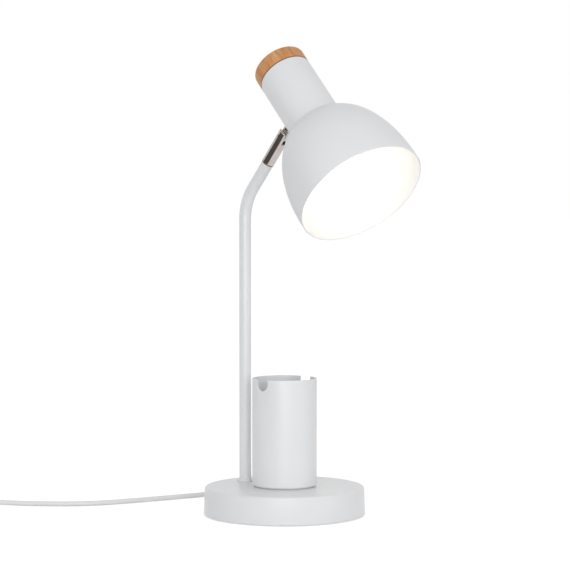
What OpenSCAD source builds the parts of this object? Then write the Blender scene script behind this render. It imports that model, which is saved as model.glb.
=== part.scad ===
// Desk lamp on a round weighted base. A pen cup with two notches stands in the middle of the base,
// and a bent arm behind it carries a bell shade on a swivel and tilt knuckle.
// The origin is on the table under the middle of the base. The shade faces -Y and +Z is up.

/* [Base] */
// Diameter of the base at the table
base_d = 160; // [140:1:200]
// Height of the base above the table
base_h = 28; // [25:1:40]
// How far each side of the base leans in at its top
base_draft = 0.8; // [0:0.1:3]
// Radius of the base's rounded top edge
base_edge = 2.5; // [1.5:0.1:4]
// Wall of the base's steel cover
cover_t = 1.2; // [0.8:0.1:2]
// Thickness of the soft pad under the base
pad_t = 1.5; // [1:0.1:3]
// Thickness of the steel bottom plate
plate_t = 1.5; // [1:0.1:3]
// Diameter of the cast weight
weight_d = 132; // [110:1:134]
// Thickness of the cast weight
weight_t = 10; // [8:0.5:13]

/* [Pen cup] */
// Outer diameter of the pen cup
cup_d = 64; // [50:1:80]
// Height of the pen cup above the base
cup_h = 107.5; // [60:0.5:150]
// Wall of the pen cup
cup_t = 1.2; // [0.8:0.1:2.5]
// Width of each notch in the rim
notch_w = 13.4; // [6:0.1:20]
// Depth of each notch
notch_l = 11.2; // [11:0.1:30]
// Thickness of the grey ring that the cup stands on
cup_gap = 1; // [0.5:0.1:3]

/* [Arm] */
// Outer diameter of the arm's tube
arm_d = 12; // [11:0.5:16]
// Wall of the arm's tube
arm_t = 1.2; // [0.8:0.1:1.4]
// Distance of the arm's foot behind the middle of the base
foot_y = 54.3; // [50:0.1:60]
// Height of the point where the arm's two straight runs would meet
bend_z = 309.1; // [200:0.1:360]
// Radius of the arm's bend at its middle line
bend_r = 50; // [30:1:60]
// Lean of the upper run towards the front
arm_tilt = 39.2; // [20:0.1:50]
// Length of the upper run from that point to the knuckle
upper_l = 49.8; // [46:0.1:90]
// Diameter of the collar under the arm
collar_d = 16.4; // [15:0.2:22]
// Height of the collar
collar_h = 2; // [1:0.1:4]

/* [Knuckle] */
// Outer diameter of the chrome barrel
barrel_d = 13; // [12.4:0.1:18]
// Length of the barrel
barrel_l = 38; // [34:0.5:50]
// Thickness of the brass ring under the barrel
ring_t = 1.2; // [0.6:0.1:3]
// Depth of the slot in the barrel's end
slot_l = 11.5; // [11.2:0.1:13]
// Width of the tongue in the slot
tongue_w = 4.6; // [3.5:0.1:5]
// Distance from the barrel's end back to the pivot
pivot_back = 6; // [5.8:0.1:6.2]
// Diameter of the pivot screw
pivot_d = 3; // [2.5:0.1:4]
// Turn of the head about the arm's end
head_turn = -5.5; // [-30:0.5:30]
// Angle of the shade's axis to the barrel's axis
head_lean = 83.6; // [60:0.1:100]

/* [Shade] */
// Diameter of the shade's neck
neck_d = 53.6; // [50:0.2:64]
// Length of the neck below the tongue's middle
neck_below = 28.1; // [26:0.1:34]
// Length of the neck above the tongue's middle
neck_above = 42.4; // [40:0.1:60]
// Diameter of the shade's mouth
mouth_d = 127.4; // [100:0.2:160]
// Height of the bell from its mouth to the neck
bell_h = 91.2; // [85:0.2:120]
// Wall of the shade and the neck
shade_t = 1; // [0.8:0.1:1.6]
// Distance from the pivot to the neck's wall
neck_reach = 15.06; // [14.6:0.02:18]
// Thickness of the wooden cap
cap_h = 15.5; // [8:0.1:20]
// Radius of the wooden cap's outer edge
cap_edge = 2.2; // [1:0.1:4]

/* [Bulb] */
// Diameter of the bulb's globe
bulb_d = 45; // [40:1:50]
// Diameter of the bulb's screw cap
bulb_cap_d = 26.2; // [26:0.1:26.4]

/* [Cord] */
// Diameter of the mains cord
cord_d = 5; // [4.5:0.1:5.4]
// Place of the cord's exit round the base, from straight behind
gland_turn = 18; // [10:1:25]
// Height of the cord's exit above the table
gland_z = 9; // [8:0.5:12]
// Length of the tapered boot outside the base
boot_l = 28; // [20:1:40]

/* [Hidden] */
$fn = 96;

// Finishes as they look in daylight.
white_paint = "#dedfe1";
dark_rubber = "#2b2b2d";
grey_silicone = "#8e9092";
steel = "#a9adb1";
iron = "#4c4f52";
brass = "#b9a25c";
chrome = "#b9bbbd";
beech = "#cda17e";
white_plastic = "#ecebe7";
cord_white = "#dcdcde";

// Clearances.
seat_gap = 0.3;      // between parts that are only laid together
slip = 0.05;         // round a shaft that turns or slides in its bore
thread_gap = 0.02;   // round a thread that is drawn without its ridges
hole_gap = 0.2;      // round a screw in a plain hole

// Base.
base_r = base_d / 2;
cover_foot = 0.8;    // height of the cover's lower edge above the table
cover_inner_r = base_r - base_draft - cover_t;
plate_z = pad_t;
weight_z = plate_z + plate_t;
weight_top = weight_z + weight_t;
under_top = base_h - cover_t;
boss_r = 9;
pad_edge = 4;        // how far the pad stays inside the plate
plate_screw_count = 3;
plate_screw_r = 1.6;
plate_screw_head_r = 3.2;
plate_screw_place = 50;
weight_cut_x = [-20, 36];
weight_cut_y = 34;

// Pen cup.
cup_r = cup_d / 2;
cup_z = base_h + cup_gap;
cup_top = base_h + cup_h;
cup_edge = 2;        // rounded bottom edge of the cup
cup_ring_in = 1.6;   // how far the grey ring stays inside the cup
cup_screw_r = 3;
cup_head_r = 5.5;
cup_head_h = 3;
cup_washer_t = 0.8;
cup_washer_r = 8;
cup_nut_af = 10;
cup_nut_h = 4.5;

// Arm.
arm_r = arm_d / 2;
arm_bore_r = arm_r - arm_t;
nipple_r = arm_bore_r - slip;
nipple_bore_r = 3;
nipple_in = 15;      // how far a nipple reaches into the tube
arm_nut_af = 14;
arm_nut_h = 4;
arm_washer_t = 1.5;
arm_washer_r = 11;
nipple_below = 2;    // nipple showing under its nut
arm_nut_z = under_top - arm_washer_t - arm_nut_h;
tube_z = base_h + collar_h;
bend_set = bend_r * tan(arm_tilt / 2);
bend_step = 0.06;    // how much thinner each side of the wall is past the bend
bend_let_in = 0.5;

// Knuckle, measured up the arm's upper run from its end.
barrel_r = barrel_d / 2;
barrel_top = ring_t + barrel_l;
barrel_edge = 0.9;
pivot_z = barrel_top - pivot_back;
slot_z = barrel_top - slot_l;
pivot_r = pivot_d / 2;
washer_t = 0.4;
face_gap = 0.03;
slot_w = tongue_w + 2 * washer_t + 4 * face_gap;
pivot_washer_r = 4.4;
pivot_head_r = 2.8;
pivot_head_h = 1.3;
eye_r = slot_l - pivot_back - seat_gap;
swivel_bore_l = 14;
lead_way_r = 3.2;

// Tongue, measured from the pivot towards the neck.
blade_h = 8;
collar_start = 9.8;
tongue_collar_r = 5.2;
stud_r = 4;
stud_washer_t = 1.5;
stud_washer_r = 7.5;
stud_nut_h = 3.2;
stud_nut_af = 12;
stud_past_nut = 0.6;

// Shade and neck, measured along the shade's axis from the tongue's level, up to the cap.
neck_r = neck_d / 2;
mouth_r = mouth_d / 2;
shade_out = neck_r + neck_reach;
neck_inner_r = neck_r - shade_t;
joint_z = -neck_below;
mouth_z = joint_z - bell_h;
holder_hole_r = 19.8;
bell_steps = 20;
bell_bulge = 1.1;    // how far the bell's lower handle stands outside the mouth
bell_side = 0.43;    // share of the bell's height that its side stays upright
bell_top_run = 26.7; // handle of the curve at the neck, outwards
bell_top_drop = 11.3; // handle of the curve at the neck, downwards
bell = [
    [mouth_r, mouth_z],
    [mouth_r + bell_bulge, mouth_z + bell_side * bell_h],
    [neck_r + bell_top_run, joint_z - bell_top_drop],
    [neck_r, joint_z]
];

// Lampholder and bulb.
holder_r = holder_hole_r - seat_gap;
holder_drop = 18.9;
holder_rise = 19.1;
holder_low = joint_z - holder_drop;
holder_shoulder_r = 23.5;
holder_shoulder_h = 2.5;
holder_body_r = 18;
holder_top = joint_z + holder_rise;
socket_l = 30;
shell_r = bulb_cap_d / 2 + 1.3;
shell_t = 0.8;
shell_in = 2;
shell_l = 25;
holder_bore_r = shell_r + slip;
shade_ring_r = 24.4;
shade_ring_h = 4.5;
contact_t = 0.6;
contact_z = holder_low + socket_l - contact_t;
terminal_r = 2.4;
terminal_h = 1.8;
terminal_x = 9;
bulb_r = bulb_d / 2;
bulb_z = holder_low - seat_gap;
bulb_cap_top = contact_z - 3.4;
bulb_contact_r = 4.5;
bulb_collar_h = 8.7;
bulb_neck_r = 14.4;
bulb_seat_r = bulb_r * 0.89;
bulb_glass_t = 1;
bulb_collar_z = bulb_z - bulb_collar_h;
bulb_mid_z = bulb_collar_z - sqrt(bulb_r * bulb_r - bulb_seat_r * bulb_seat_r);

// Wooden cap.
cap_z = neck_above + seat_gap;
spigot_l = 8;
spigot_r = neck_inner_r - hole_gap;
bracket_z = neck_above - 15;
bracket_t = 1.5;
bracket_w = 12;
bracket_tab = 7;
cap_screw_r = 2;
cap_screw_head_r = 4;
cap_screw_head_h = 2.4;
cap_screw_in = 13;   // how far the screw reaches into the wood

// Cord, gland and clamp.
cord_r = cord_d / 2;
gland_flange_t = 1.6;
gland_flange_r = 6.2;
gland_neck_r = 4.4;
gland_inner_t = 1.8;
boot_r = 4.8;
boot_tip_r = cord_r + 0.7;
gland_wall = base_r - base_draft * (gland_z - cover_foot) / (base_h - cover_foot);
gland_face = gland_wall + 0.1;
gland_tip = gland_face + gland_flange_t + boot_l;
gland_inside = gland_wall - cover_t - 0.6 - gland_inner_t;
gland_dir = [sin(gland_turn), cos(gland_turn), 0];
gland_end = [0, 0, gland_z] + gland_tip * gland_dir;
lead_r = 2;
lead_sides = 8;
clamp_back = [6.4, 9]; // from the gland's inner end to the middle of the clamp
clamp_mid = [gland_inside * gland_dir[0] - clamp_back[0], gland_inside * gland_dir[1] - clamp_back[1]];
clamp_turn = -45;
clamp_w = 17;
clamp_d = 6;
clamp_top = gland_z + 4;
clamp_screw_x = 5.7;
clamp_screw_r = 1.3;
clamp_head_r = 2.3;
clamp_head_h = 1.5;

// The lead inside the lamp: from the gland through the clamp, up the arm to the knuckle.
lead_straight = 1.5; // how far the lead runs straight on from the gland
lead_past_clamp = 1.4;
clamp_way = (clamp_d / 2 + lead_past_clamp) * [-sin(clamp_turn), cos(clamp_turn)];
clamp_out = clamp_mid - clamp_way;
function to_foot(share, z) = [
    clamp_out[0] * (1 - share),
    clamp_out[1] + (foot_y - clamp_out[1]) * share,
    z
];
lead_low = [
    [0, 0, gland_z] + (gland_inside - lead_straight) * gland_dir,
    [clamp_mid[0] + clamp_way[0], clamp_mid[1] + clamp_way[1], gland_z],
    to_foot(0, gland_z),
    to_foot(0.4, gland_z),
    to_foot(0.74, gland_z + 2),
    to_foot(0.94, gland_z + 5.5)
];
bend_points = 7;
function arm_axis(a) = [0, foot_y - bend_r * (1 - cos(a)), bend_z - bend_set + bend_r * sin(a)];
function up_run(l) = [0, foot_y - l * sin(arm_tilt), bend_z + l * cos(arm_tilt)];
lead_path = concat(
    [[0, 0, gland_z] + gland_inside * gland_dir],
    lead_low,
    [for (z = [gland_z + 10, tube_z, (tube_z + bend_z) / 2]) [0, foot_y, z]],
    [for (i = [0:bend_points - 1]) arm_axis(arm_tilt * i / (bend_points - 1))],
    [up_run(upper_l - 8), up_run(upper_l + 11)]
);

// The short lead in the neck, from the stud to the lampholder.
head_lead_r = 1.6;
stud_end = neck_inner_r - stud_washer_t - stud_nut_h - stud_past_nut;
head_lead_path = [
    [0, stud_end, 0],
    [0, stud_end - 3, 0.4],
    [0, 12.5, 3],
    [0, 8, 4.6],
    [0, 3.6, 3.4],
    [0, 0.8, -0.6],
    [0, 0, -5],
    [0, 0, holder_top]
];

// The cord's free run from the gland's boot to the switch.
cord_floor = cord_r + 0.1;
switch_end = 30;
function from_gland(x, y, z) = [gland_end[0] + x, gland_end[1] + y, z];
function dropped(share) = gland_z + (cord_floor - gland_z) * share;
switch_mid = [gland_end[0] - 225.82, gland_end[1] + 188.9];
switch_turn = 127.7;
switch_dir = [cos(switch_turn), sin(switch_turn), 0];
switch_cord_z = 4.2;
switch_in = [switch_mid[0], switch_mid[1], switch_cord_z] - switch_end * switch_dir;
switch_out = [switch_mid[0], switch_mid[1], switch_cord_z] + switch_end * switch_dir;
run_path = concat(
    [gland_end, gland_end + 7 * gland_dir],
    [
        from_gland(4.2, 14.9, dropped(0.16)),
        from_gland(3.7, 20.9, dropped(0.34)),
        from_gland(0.7, 27.9, dropped(0.62)),
        from_gland(-5.3, 34.4, dropped(0.88)),
        from_gland(-13.8, 38.9, cord_floor),
        from_gland(-23.8, 41.9, cord_floor),
        from_gland(-36.8, 44.9, cord_floor),
        from_gland(-50.8, 48.4, cord_floor),
        from_gland(-64.8, 52.4, cord_floor),
        from_gland(-81.8, 57.4, cord_floor),
        from_gland(-99.8, 62.9, cord_floor),
        from_gland(-115.8, 68.9, cord_floor),
        from_gland(-129.8, 76.4, cord_floor),
        from_gland(-142.8, 85.9, cord_floor),
        from_gland(-153.8, 96.9, cord_floor),
        from_gland(-163.8, 108.9, cord_floor),
        from_gland(-173.8, 121.4, cord_floor),
        from_gland(-183.8, 134.4, cord_floor + 0.3),
        from_gland(-193.8, 147.4, cord_floor + 0.9)
    ],
    [switch_in - 8 * switch_dir, switch_in]
);

// The coil: it spirals in on the table, climbs in a half turn and spirals out again on top.
coil_pitch = cord_d + 0.7;
coil_turns = 3.5;    // in each of the two layers
coil_out_r = 39;
coil_in_r = coil_out_r - coil_pitch * coil_turns;
coil_dip = 1.2;
coil_low = cord_r + 1;
coil_rings = 24;     // in each turn
coil_sides = 6;
coil_start = 37.7;
coil_lead = 31;      // cord between the switch and the coil
coil_mid = [
    switch_out[0] + coil_lead * switch_dir[0] - coil_out_r * cos(coil_start),
    switch_out[1] + coil_lead * switch_dir[1] - coil_out_r * sin(coil_start)
];
coil_total = 2 * coil_turns + 0.5;
function coil_radius(t) =
    t < coil_turns ? coil_out_r - coil_pitch * t :
    t < coil_turns + 0.5 ? coil_in_r - coil_dip * sin(360 * (t - coil_turns)) :
    coil_in_r + coil_pitch * (t - coil_turns - 0.5);
function coil_height(t) =
    coil_low + coil_pitch * min(1, max(0, (t - coil_turns) * 2));
function coil_point(t) = [
    coil_mid[0] + coil_radius(t) * cos(coil_start + 360 * t),
    coil_mid[1] + coil_radius(t) * sin(coil_start + 360 * t),
    coil_height(t)
];
coil_path = [for (i = [0:coil_total * coil_rings]) coil_point(i / coil_rings)];
coil_last = coil_path[len(coil_path) - 1];
coil_in_way = coil_path[1] - coil_path[0];
coil_out_way = coil_last - coil_path[len(coil_path) - 2];
lead_out_path = [
    switch_out,
    switch_out + 5 * switch_dir,
    coil_path[0] - 6 * coil_in_way / norm(coil_in_way),
    coil_path[0]
];

// The plug lies beside the coil, with the cord's end running back to it.
end_l = 24;
plug_h = 15;
plug_w = 34;
plug_l = 36;
plug_neck_l = 10;
plug_neck_r = 4.6;
plug_z = plug_h / 2;
plug_at = [coil_last[0], coil_last[1], plug_z] - end_l * switch_dir;
end_path = [
    coil_last,
    coil_last + 5 * coil_out_way / norm(coil_out_way),
    plug_at + 6 * switch_dir,
    plug_at
];
pin_r = 2;
pin_l = 19;
pin_gap = 18.6;

// Least distance from the coil's skin to itself, between points more than half a turn apart.
coil_gap = min([
    for (i = [0:len(coil_path) - 1])
        for (j = [i + coil_rings / 2:1:len(coil_path) - 1]) norm(coil_path[i] - coil_path[j])
]) - cord_d;
echo(least_gap_between_turns = coil_gap);

function length_of(path) = len(path) < 2 ? 0 : path_sum(path, 1, 0);
function path_sum(path, i, sum) =
    i >= len(path) ? sum : path_sum(path, i + 1, sum + norm(path[i] - path[i - 1]));
echo(cord_lengths = [for (p = [run_path, lead_out_path, coil_path, end_path]) length_of(p)]);

// Switch.
switch_l = 2 * switch_end;
switch_w = 26;
switch_base_h = 8;
switch_cover_h = 8;
switch_wall = 1.6;
rocker_l = 20;
rocker_w = 12;
rocker_r = 15;
rocker_on = 7;
rocker_low = 1.4;    // how far the key reaches below its pins
rocker_pin_r = 1.5;
switch_top = switch_base_h + switch_cover_h;
rocker_axis_z = switch_top - 6.5;
switch_screw_x = 22;
switch_screw_r = 1.3;
switch_screw_head_r = 2.5;

// A unit vector.
function unit(v) = v / norm(v);

// Direction of a path at one of its points.
function heading(path, i) =
    unit(path[min(i + 1, len(path) - 1)] - path[max(i - 1, 0)]);

// A direction square to the path at each point, carried along without twisting.
function sides_of(path) = [
    for (i = 0, s = first_side(heading(path, 0));
         i < len(path);
         i = i + 1, s = i < len(path) ? carried(s, heading(path, i)) : s) s
];
function first_side(t) = unit(cross(t, abs(t[2]) > 0.9 ? [1, 0, 0] : [0, 0, 1]));
function carried(s, t) = unit(s - (s * t) * t);

// A closed tube of radius r with n sides along a path.
module tube(path, r, n) {
    last = len(path) - 1;
    across = sides_of(path);
    points = [
        for (i = [0:last])
            let (t = heading(path, i), s = across[i], u = cross(t, s))
                for (k = [0:n - 1]) path[i] + r * (cos(360 * k / n) * s + sin(360 * k / n) * u)
    ];
    walls = [
        for (i = [0:last - 1])
            for (k = [0:n - 1])
                let (a = i * n + k, b = i * n + (k + 1) % n)
                    each [[a, a + n, b + n], [a, b + n, b]]
    ];
    start_cap = [for (k = [0:n - 1]) k];
    end_cap = [for (k = [n - 1:-1:0]) last * n + k];
    polyhedron(points = points, faces = concat([start_cap], walls, [end_cap]), convexity = 10);
}

// Hexagon prism across flats.
module hex(across_flats, h) {
    cylinder(d = across_flats / cos(30), h = h, $fn = 6);
}

// A ring from one radius to another.
module washer(outer, inner, h) {
    difference() {
        cylinder(r = outer, h = h);
        translate([0, 0, -1]) cylinder(r = inner, h = h + 2);
    }
}

// Frames of the arm's end, the swivel, the pivot and the shade's axis.
module at_foot() {
    translate([0, foot_y, 0]) children();
}
module at_arm_end() {
    translate([0, foot_y, bend_z]) rotate([arm_tilt, 0, 0]) translate([0, 0, upper_l]) children();
}
module at_swivel() {
    at_arm_end() rotate([0, 0, head_turn]) children();
}
module at_pivot() {
    at_swivel() translate([0, 0, pivot_z]) children();
}
module at_tongue() {
    at_pivot() rotate([-head_lean, 0, 0]) children();
}
module at_shade() {
    at_tongue() translate([0, -shade_out, 0]) children();
}
module at_gland() {
    translate([0, 0, gland_z]) rotate([0, 0, -gland_turn]) rotate([-90, 0, 0]) children();
}
module at_clamp() {
    translate([clamp_mid[0], clamp_mid[1], 0]) rotate([0, 0, clamp_turn]) children();
}
module at_switch() {
    translate([switch_mid[0], switch_mid[1], 0]) rotate([0, 0, switch_turn]) children();
}
module at_plug() {
    translate(plug_at) rotate([0, 0, switch_turn + 180]) children();
}

// Half outline of the base's drum, drafted, with its top edge rounded.
module drum_outline(inset, low) {
    top = base_h - inset;
    r_low = base_r - inset;
    r_top = base_r - base_draft - inset;
    edge = max(0.3, base_edge - inset);
    polygon([[0, low], [r_low, low], [r_top, top - edge], [r_top - edge, top - edge],
             [r_top - edge, top], [0, top]]);
    translate([r_top - edge, top - edge]) intersection() {
        circle(r = edge);
        square(edge);
    }
}

module base_cover() {
    color(white_paint) difference() {
        rotate_extrude() drum_outline(0, cover_foot);
        rotate_extrude() difference() {
            drum_outline(cover_t, -1);
            square([0.001, base_h]);
        }
        cylinder(r = cup_screw_r + hole_gap, h = base_h + 1);
        at_foot() cylinder(r = nipple_r + hole_gap, h = base_h + 1);
        at_gland() translate([0, 0, gland_inside]) cylinder(r = gland_neck_r, h = 20);
    }
}

module base_weight() {
    color(iron) difference() {
        union() {
            translate([0, 0, weight_z]) cylinder(d = weight_d, h = weight_t);
            translate([0, 0, weight_z]) cylinder(r = boss_r, h = under_top - weight_z);
        }
        cylinder(r = cup_screw_r + hole_gap, h = base_h);
        translate([0, 0, weight_z - 1]) hex(cup_nut_af + 2 * hole_gap, cup_nut_h + 2);
        translate([weight_cut_x[0], weight_cut_y, 0])
            cube([weight_cut_x[1] - weight_cut_x[0], weight_d, base_h]);
        for_plate_screws() cylinder(r = plate_screw_r + thread_gap, h = weight_top - 2);
    }
}

module for_plate_screws() {
    for (i = [0:plate_screw_count - 1])
        rotate([0, 0, 30 + 360 * i / plate_screw_count]) translate([0, -plate_screw_place, 0]) children();
}

module base_plate() {
    color(steel) difference() {
        translate([0, 0, plate_z]) cylinder(r = cover_inner_r - seat_gap, h = plate_t);
        for_plate_screws() translate([0, 0, plate_z - 0.01])
            cylinder(r1 = plate_screw_head_r + slip, r2 = plate_screw_r + slip, h = plate_t + 0.02);
        at_clamp() for (x = [-1, 1]) translate([x * clamp_screw_x, 0, 0])
            cylinder(r = clamp_screw_r + thread_gap, h = base_h);
    }
}

module plate_screws() {
    color(steel) for_plate_screws() {
        translate([0, 0, plate_z]) cylinder(r1 = plate_screw_head_r, r2 = plate_screw_r, h = plate_t);
        translate([0, 0, plate_z + plate_t]) cylinder(r = plate_screw_r, h = weight_t - 4);
    }
}

module foot_pad() {
    color(dark_rubber) cylinder(r = cover_inner_r - pad_edge, h = pad_t);
}

// The gland: a flange outside, a neck through the wall, a lip inside and a tapered boot.
module cord_gland() {
    color(cord_white) at_gland() {
        translate([0, 0, gland_inside]) cylinder(r = gland_neck_r + 1.2, h = gland_inner_t);
        translate([0, 0, gland_inside]) cylinder(r = gland_neck_r - slip, h = gland_face - gland_inside);
        translate([0, 0, gland_face]) cylinder(r = gland_flange_r, h = gland_flange_t);
        translate([0, 0, gland_face + gland_flange_t])
            cylinder(r1 = boot_r, r2 = boot_tip_r, h = boot_l);
    }
}

module cord_clamp() {
    color(white_plastic) at_clamp() difference() {
        translate([-clamp_w / 2, -clamp_d / 2, weight_z]) cube([clamp_w, clamp_d, clamp_top - weight_z]);
        translate([0, 0, gland_z]) rotate([90, 0, 0])
            cylinder(r = lead_r + slip, h = clamp_d + 2, center = true);
        for (x = [-1, 1]) translate([x * clamp_screw_x, 0, 0])
            cylinder(r = clamp_screw_r + thread_gap, h = base_h);
    }
}

module clamp_screws() {
    color(steel) at_clamp() for (x = [-1, 1]) translate([x * clamp_screw_x, 0, 0]) {
        translate([0, 0, plate_z + 0.3]) cylinder(r = clamp_screw_r, h = clamp_top - plate_z - 0.3);
        translate([0, 0, clamp_top]) cylinder(r = clamp_head_r, h = clamp_head_h);
    }
}

module inner_lead() {
    color(cord_white) tube(lead_path, lead_r, lead_sides);
}

module cup_ring() {
    color(grey_silicone) translate([0, 0, base_h])
        washer(cup_r - cup_ring_in, cup_screw_r + hole_gap, cup_gap);
}

// Half outline of the cup's outside, with a rounded bottom edge and a rounded rim.
module cup_outline() {
    difference() {
        union() {
            translate([cup_r - cup_edge, cup_z + cup_edge]) intersection() {
                circle(r = cup_edge);
                translate([0, -cup_edge]) square(cup_edge);
            }
            translate([0, cup_z]) square([cup_r - cup_edge, cup_edge]);
            translate([0, cup_z + cup_edge]) square([cup_r, cup_top - cup_z - cup_edge - cup_t / 2]);
            translate([cup_r - cup_t / 2, cup_top - cup_t / 2]) circle(r = cup_t / 2);
        }
        translate([-1, cup_z + cup_t]) square([1 + cup_r - cup_t, cup_h * 2]);
        translate([-cup_r, 0]) square([cup_r, cup_top * 2]);
    }
}

module pen_cup() {
    color(white_paint) difference() {
        rotate_extrude() cup_outline();
        translate([0, 0, cup_z - 1]) cylinder(r = cup_screw_r + hole_gap, h = cup_t + 2);
        rotate([90, 0, 90]) translate([0, 0, -cup_r - 1]) linear_extrude(cup_d + 2) notch_outline();
    }
}

// The notch's outline: straight sides and a half-round bottom.
module notch_outline() {
    low = cup_top - notch_l + notch_w / 2;
    translate([0, low]) circle(d = notch_w);
    translate([-notch_w / 2, low]) square([notch_w, notch_l + notch_w]);
}

module cup_washer() {
    color(steel) translate([0, 0, cup_z + cup_t])
        washer(cup_washer_r, cup_screw_r + hole_gap, cup_washer_t);
}

module cup_screw() {
    head_z = cup_z + cup_t + cup_washer_t;
    color(steel) difference() {
        union() {
            translate([0, 0, weight_z + 0.5]) cylinder(r = cup_screw_r, h = head_z - weight_z - 0.5);
            translate([0, 0, head_z]) cylinder(r = cup_head_r, h = cup_head_h);
        }
        translate([0, 0, head_z + cup_head_h - 1.6]) hex(4, 3);
    }
}

module cup_nut() {
    color(steel) translate([0, 0, weight_z + 0.9]) difference() {
        hex(cup_nut_af, cup_nut_h);
        translate([0, 0, -1]) cylinder(r = cup_screw_r + thread_gap, h = cup_nut_h + 2);
    }
}

module arm_collar() {
    color(white_paint) at_foot() translate([0, 0, base_h])
        washer(collar_d / 2, nipple_r + slip, collar_h);
}

module arm_nipple() {
    low = arm_nut_z - nipple_below;
    color(brass) at_foot() translate([0, 0, low])
        washer(nipple_r, nipple_bore_r, tube_z + nipple_in - low);
}

module arm_washer() {
    color(steel) at_foot() translate([0, 0, arm_nut_z + arm_nut_h])
        washer(arm_washer_r, nipple_r + hole_gap, arm_washer_t);
}

module arm_nut() {
    color(steel) at_foot() translate([0, 0, arm_nut_z]) difference() {
        hex(arm_nut_af, arm_nut_h);
        translate([0, 0, -1]) cylinder(r = nipple_r + thread_gap, h = arm_nut_h + 2);
    }
}

// The bent tube: an upright run, an arc and a leaning run that is let into the arc's wall.
module arm_tube() {
    color(white_paint) {
        at_foot() translate([0, 0, tube_z]) rotate([0, 0, 90])
            washer(arm_r, arm_bore_r, bend_z - bend_set - tube_z);
        translate([0, foot_y - bend_r, bend_z - bend_set]) rotate([90, 0, 90]) {
            rotate_extrude(angle = arm_tilt) translate([bend_r, 0]) difference() {
                circle(r = arm_r);
                circle(r = arm_bore_r);
            }
            rotate([0, 0, arm_tilt]) translate([bend_r, -bend_let_in, 0]) rotate([-90, 0, 0])
                washer(arm_r - bend_step, arm_bore_r + bend_step, upper_l - bend_set + bend_let_in);
        }
    }
}

module swivel_nipple() {
    color(brass) at_arm_end() translate([0, 0, -nipple_in])
        washer(nipple_r, nipple_bore_r, nipple_in + ring_t + swivel_bore_l - 1);
}

module swivel_ring() {
    color(brass) at_arm_end() washer(barrel_r - 0.1, nipple_r + slip, ring_t - face_gap);
}

module knuckle_barrel() {
    color(chrome) at_swivel() difference() {
        rotate_extrude() difference() {
            union() {
                translate([0, ring_t]) square([barrel_r, barrel_l - barrel_edge]);
                translate([0, ring_t]) square([barrel_r - barrel_edge, barrel_l]);
                translate([barrel_r - barrel_edge, barrel_top - barrel_edge]) circle(r = barrel_edge);
            }
            translate([-barrel_r, 0]) square([barrel_r, barrel_top + 5]);
        }
        cylinder(r = nipple_r + slip, h = ring_t + swivel_bore_l);
        cylinder(r = lead_way_r, h = slot_z + 1);
        translate([-slot_w / 2, -barrel_d, slot_z]) cube([slot_w, 2 * barrel_d, slot_l + 5]);
        translate([0, 0, pivot_z]) rotate([0, 90, 0]) {
            cylinder(r = pivot_r + thread_gap, h = 2 * barrel_d, center = true);
            translate([0, 0, barrel_r - pivot_head_h - 0.5])
                cylinder(r = pivot_head_r + hole_gap, h = barrel_d);
        }
    }
}

module pivot_washers() {
    color(white_plastic) at_pivot() rotate([0, 90, 0]) for (s = [-1, 1])
        translate([0, 0, s * (tongue_w / 2 + face_gap + washer_t / 2) - washer_t / 2])
            washer(pivot_washer_r, pivot_r + slip, washer_t);
}

module pivot_screw() {
    seat = barrel_r - pivot_head_h - 0.5;
    color(chrome) at_pivot() rotate([0, 90, 0]) difference() {
        union() {
            translate([0, 0, -barrel_r + 0.4]) cylinder(r = pivot_r, h = seat + barrel_r - 0.4);
            translate([0, 0, seat]) cylinder(r = pivot_head_r, h = pivot_head_h);
        }
        translate([-5, -0.4, seat + pivot_head_h - 0.6]) cube([10, 0.8, 2]);
    }
}

// The tongue: an eye on the pivot, a blade, a collar shaped to the neck and a threaded stud.
module knuckle_tongue() {
    stud_l = shade_out - stud_end - collar_start;
    color(chrome) at_tongue() difference() {
        union() {
            rotate([0, 90, 0]) cylinder(r = eye_r, h = tongue_w, center = true);
            translate([-tongue_w / 2, -collar_start - 0.5, -blade_h / 2])
                cube([tongue_w, collar_start + 0.5, blade_h]);
            translate([0, -collar_start, 0]) rotate([90, 0, 0]) difference() {
                cylinder(r = tongue_collar_r, h = neck_reach - collar_start + 2);
                translate([0, 0, shade_out - collar_start]) rotate([90, 0, 0])
                    cylinder(r = neck_r, h = 40, center = true);
            }
            translate([0, -collar_start, 0]) rotate([90, 0, 0]) cylinder(r = stud_r, h = stud_l);
        }
        rotate([0, 90, 0]) cylinder(r = pivot_r + slip, h = 20, center = true);
        translate([0, -collar_start - 2, 0]) rotate([90, 0, 0]) cylinder(r = 1.8, h = stud_l);
    }
}

// Washer inside the neck, curved to its wall.
module stud_washer() {
    color(white_plastic) at_shade() difference() {
        intersection() {
            translate([0, neck_inner_r - stud_washer_t, 0]) rotate([-90, 0, 0])
                cylinder(r = stud_washer_r, h = 5);
            cylinder(r = neck_inner_r, h = 40, center = true);
        }
        rotate([-90, 0, 0]) cylinder(r = stud_r + thread_gap, h = neck_d);
    }
}

module stud_nut() {
    color(steel) at_shade() translate([0, neck_inner_r - stud_washer_t - stud_nut_h, 0])
        rotate([-90, 0, 0]) difference() {
            hex(stud_nut_af, stud_nut_h);
            translate([0, 0, -1]) cylinder(r = stud_r + thread_gap, h = stud_nut_h + 2);
        }
}

module neck_housing() {
    color(white_paint) at_shade() difference() {
        translate([0, 0, joint_z]) cylinder(r = neck_r, h = neck_above - joint_z);
        translate([0, 0, joint_z + shade_t]) cylinder(r = neck_inner_r, h = neck_above * 2);
        translate([0, 0, joint_z - 1]) cylinder(r = holder_hole_r, h = shade_t + 2);
        rotate([-90, 0, 0]) cylinder(r = stud_r + hole_gap / 2, h = neck_d);
    }
}

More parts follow.
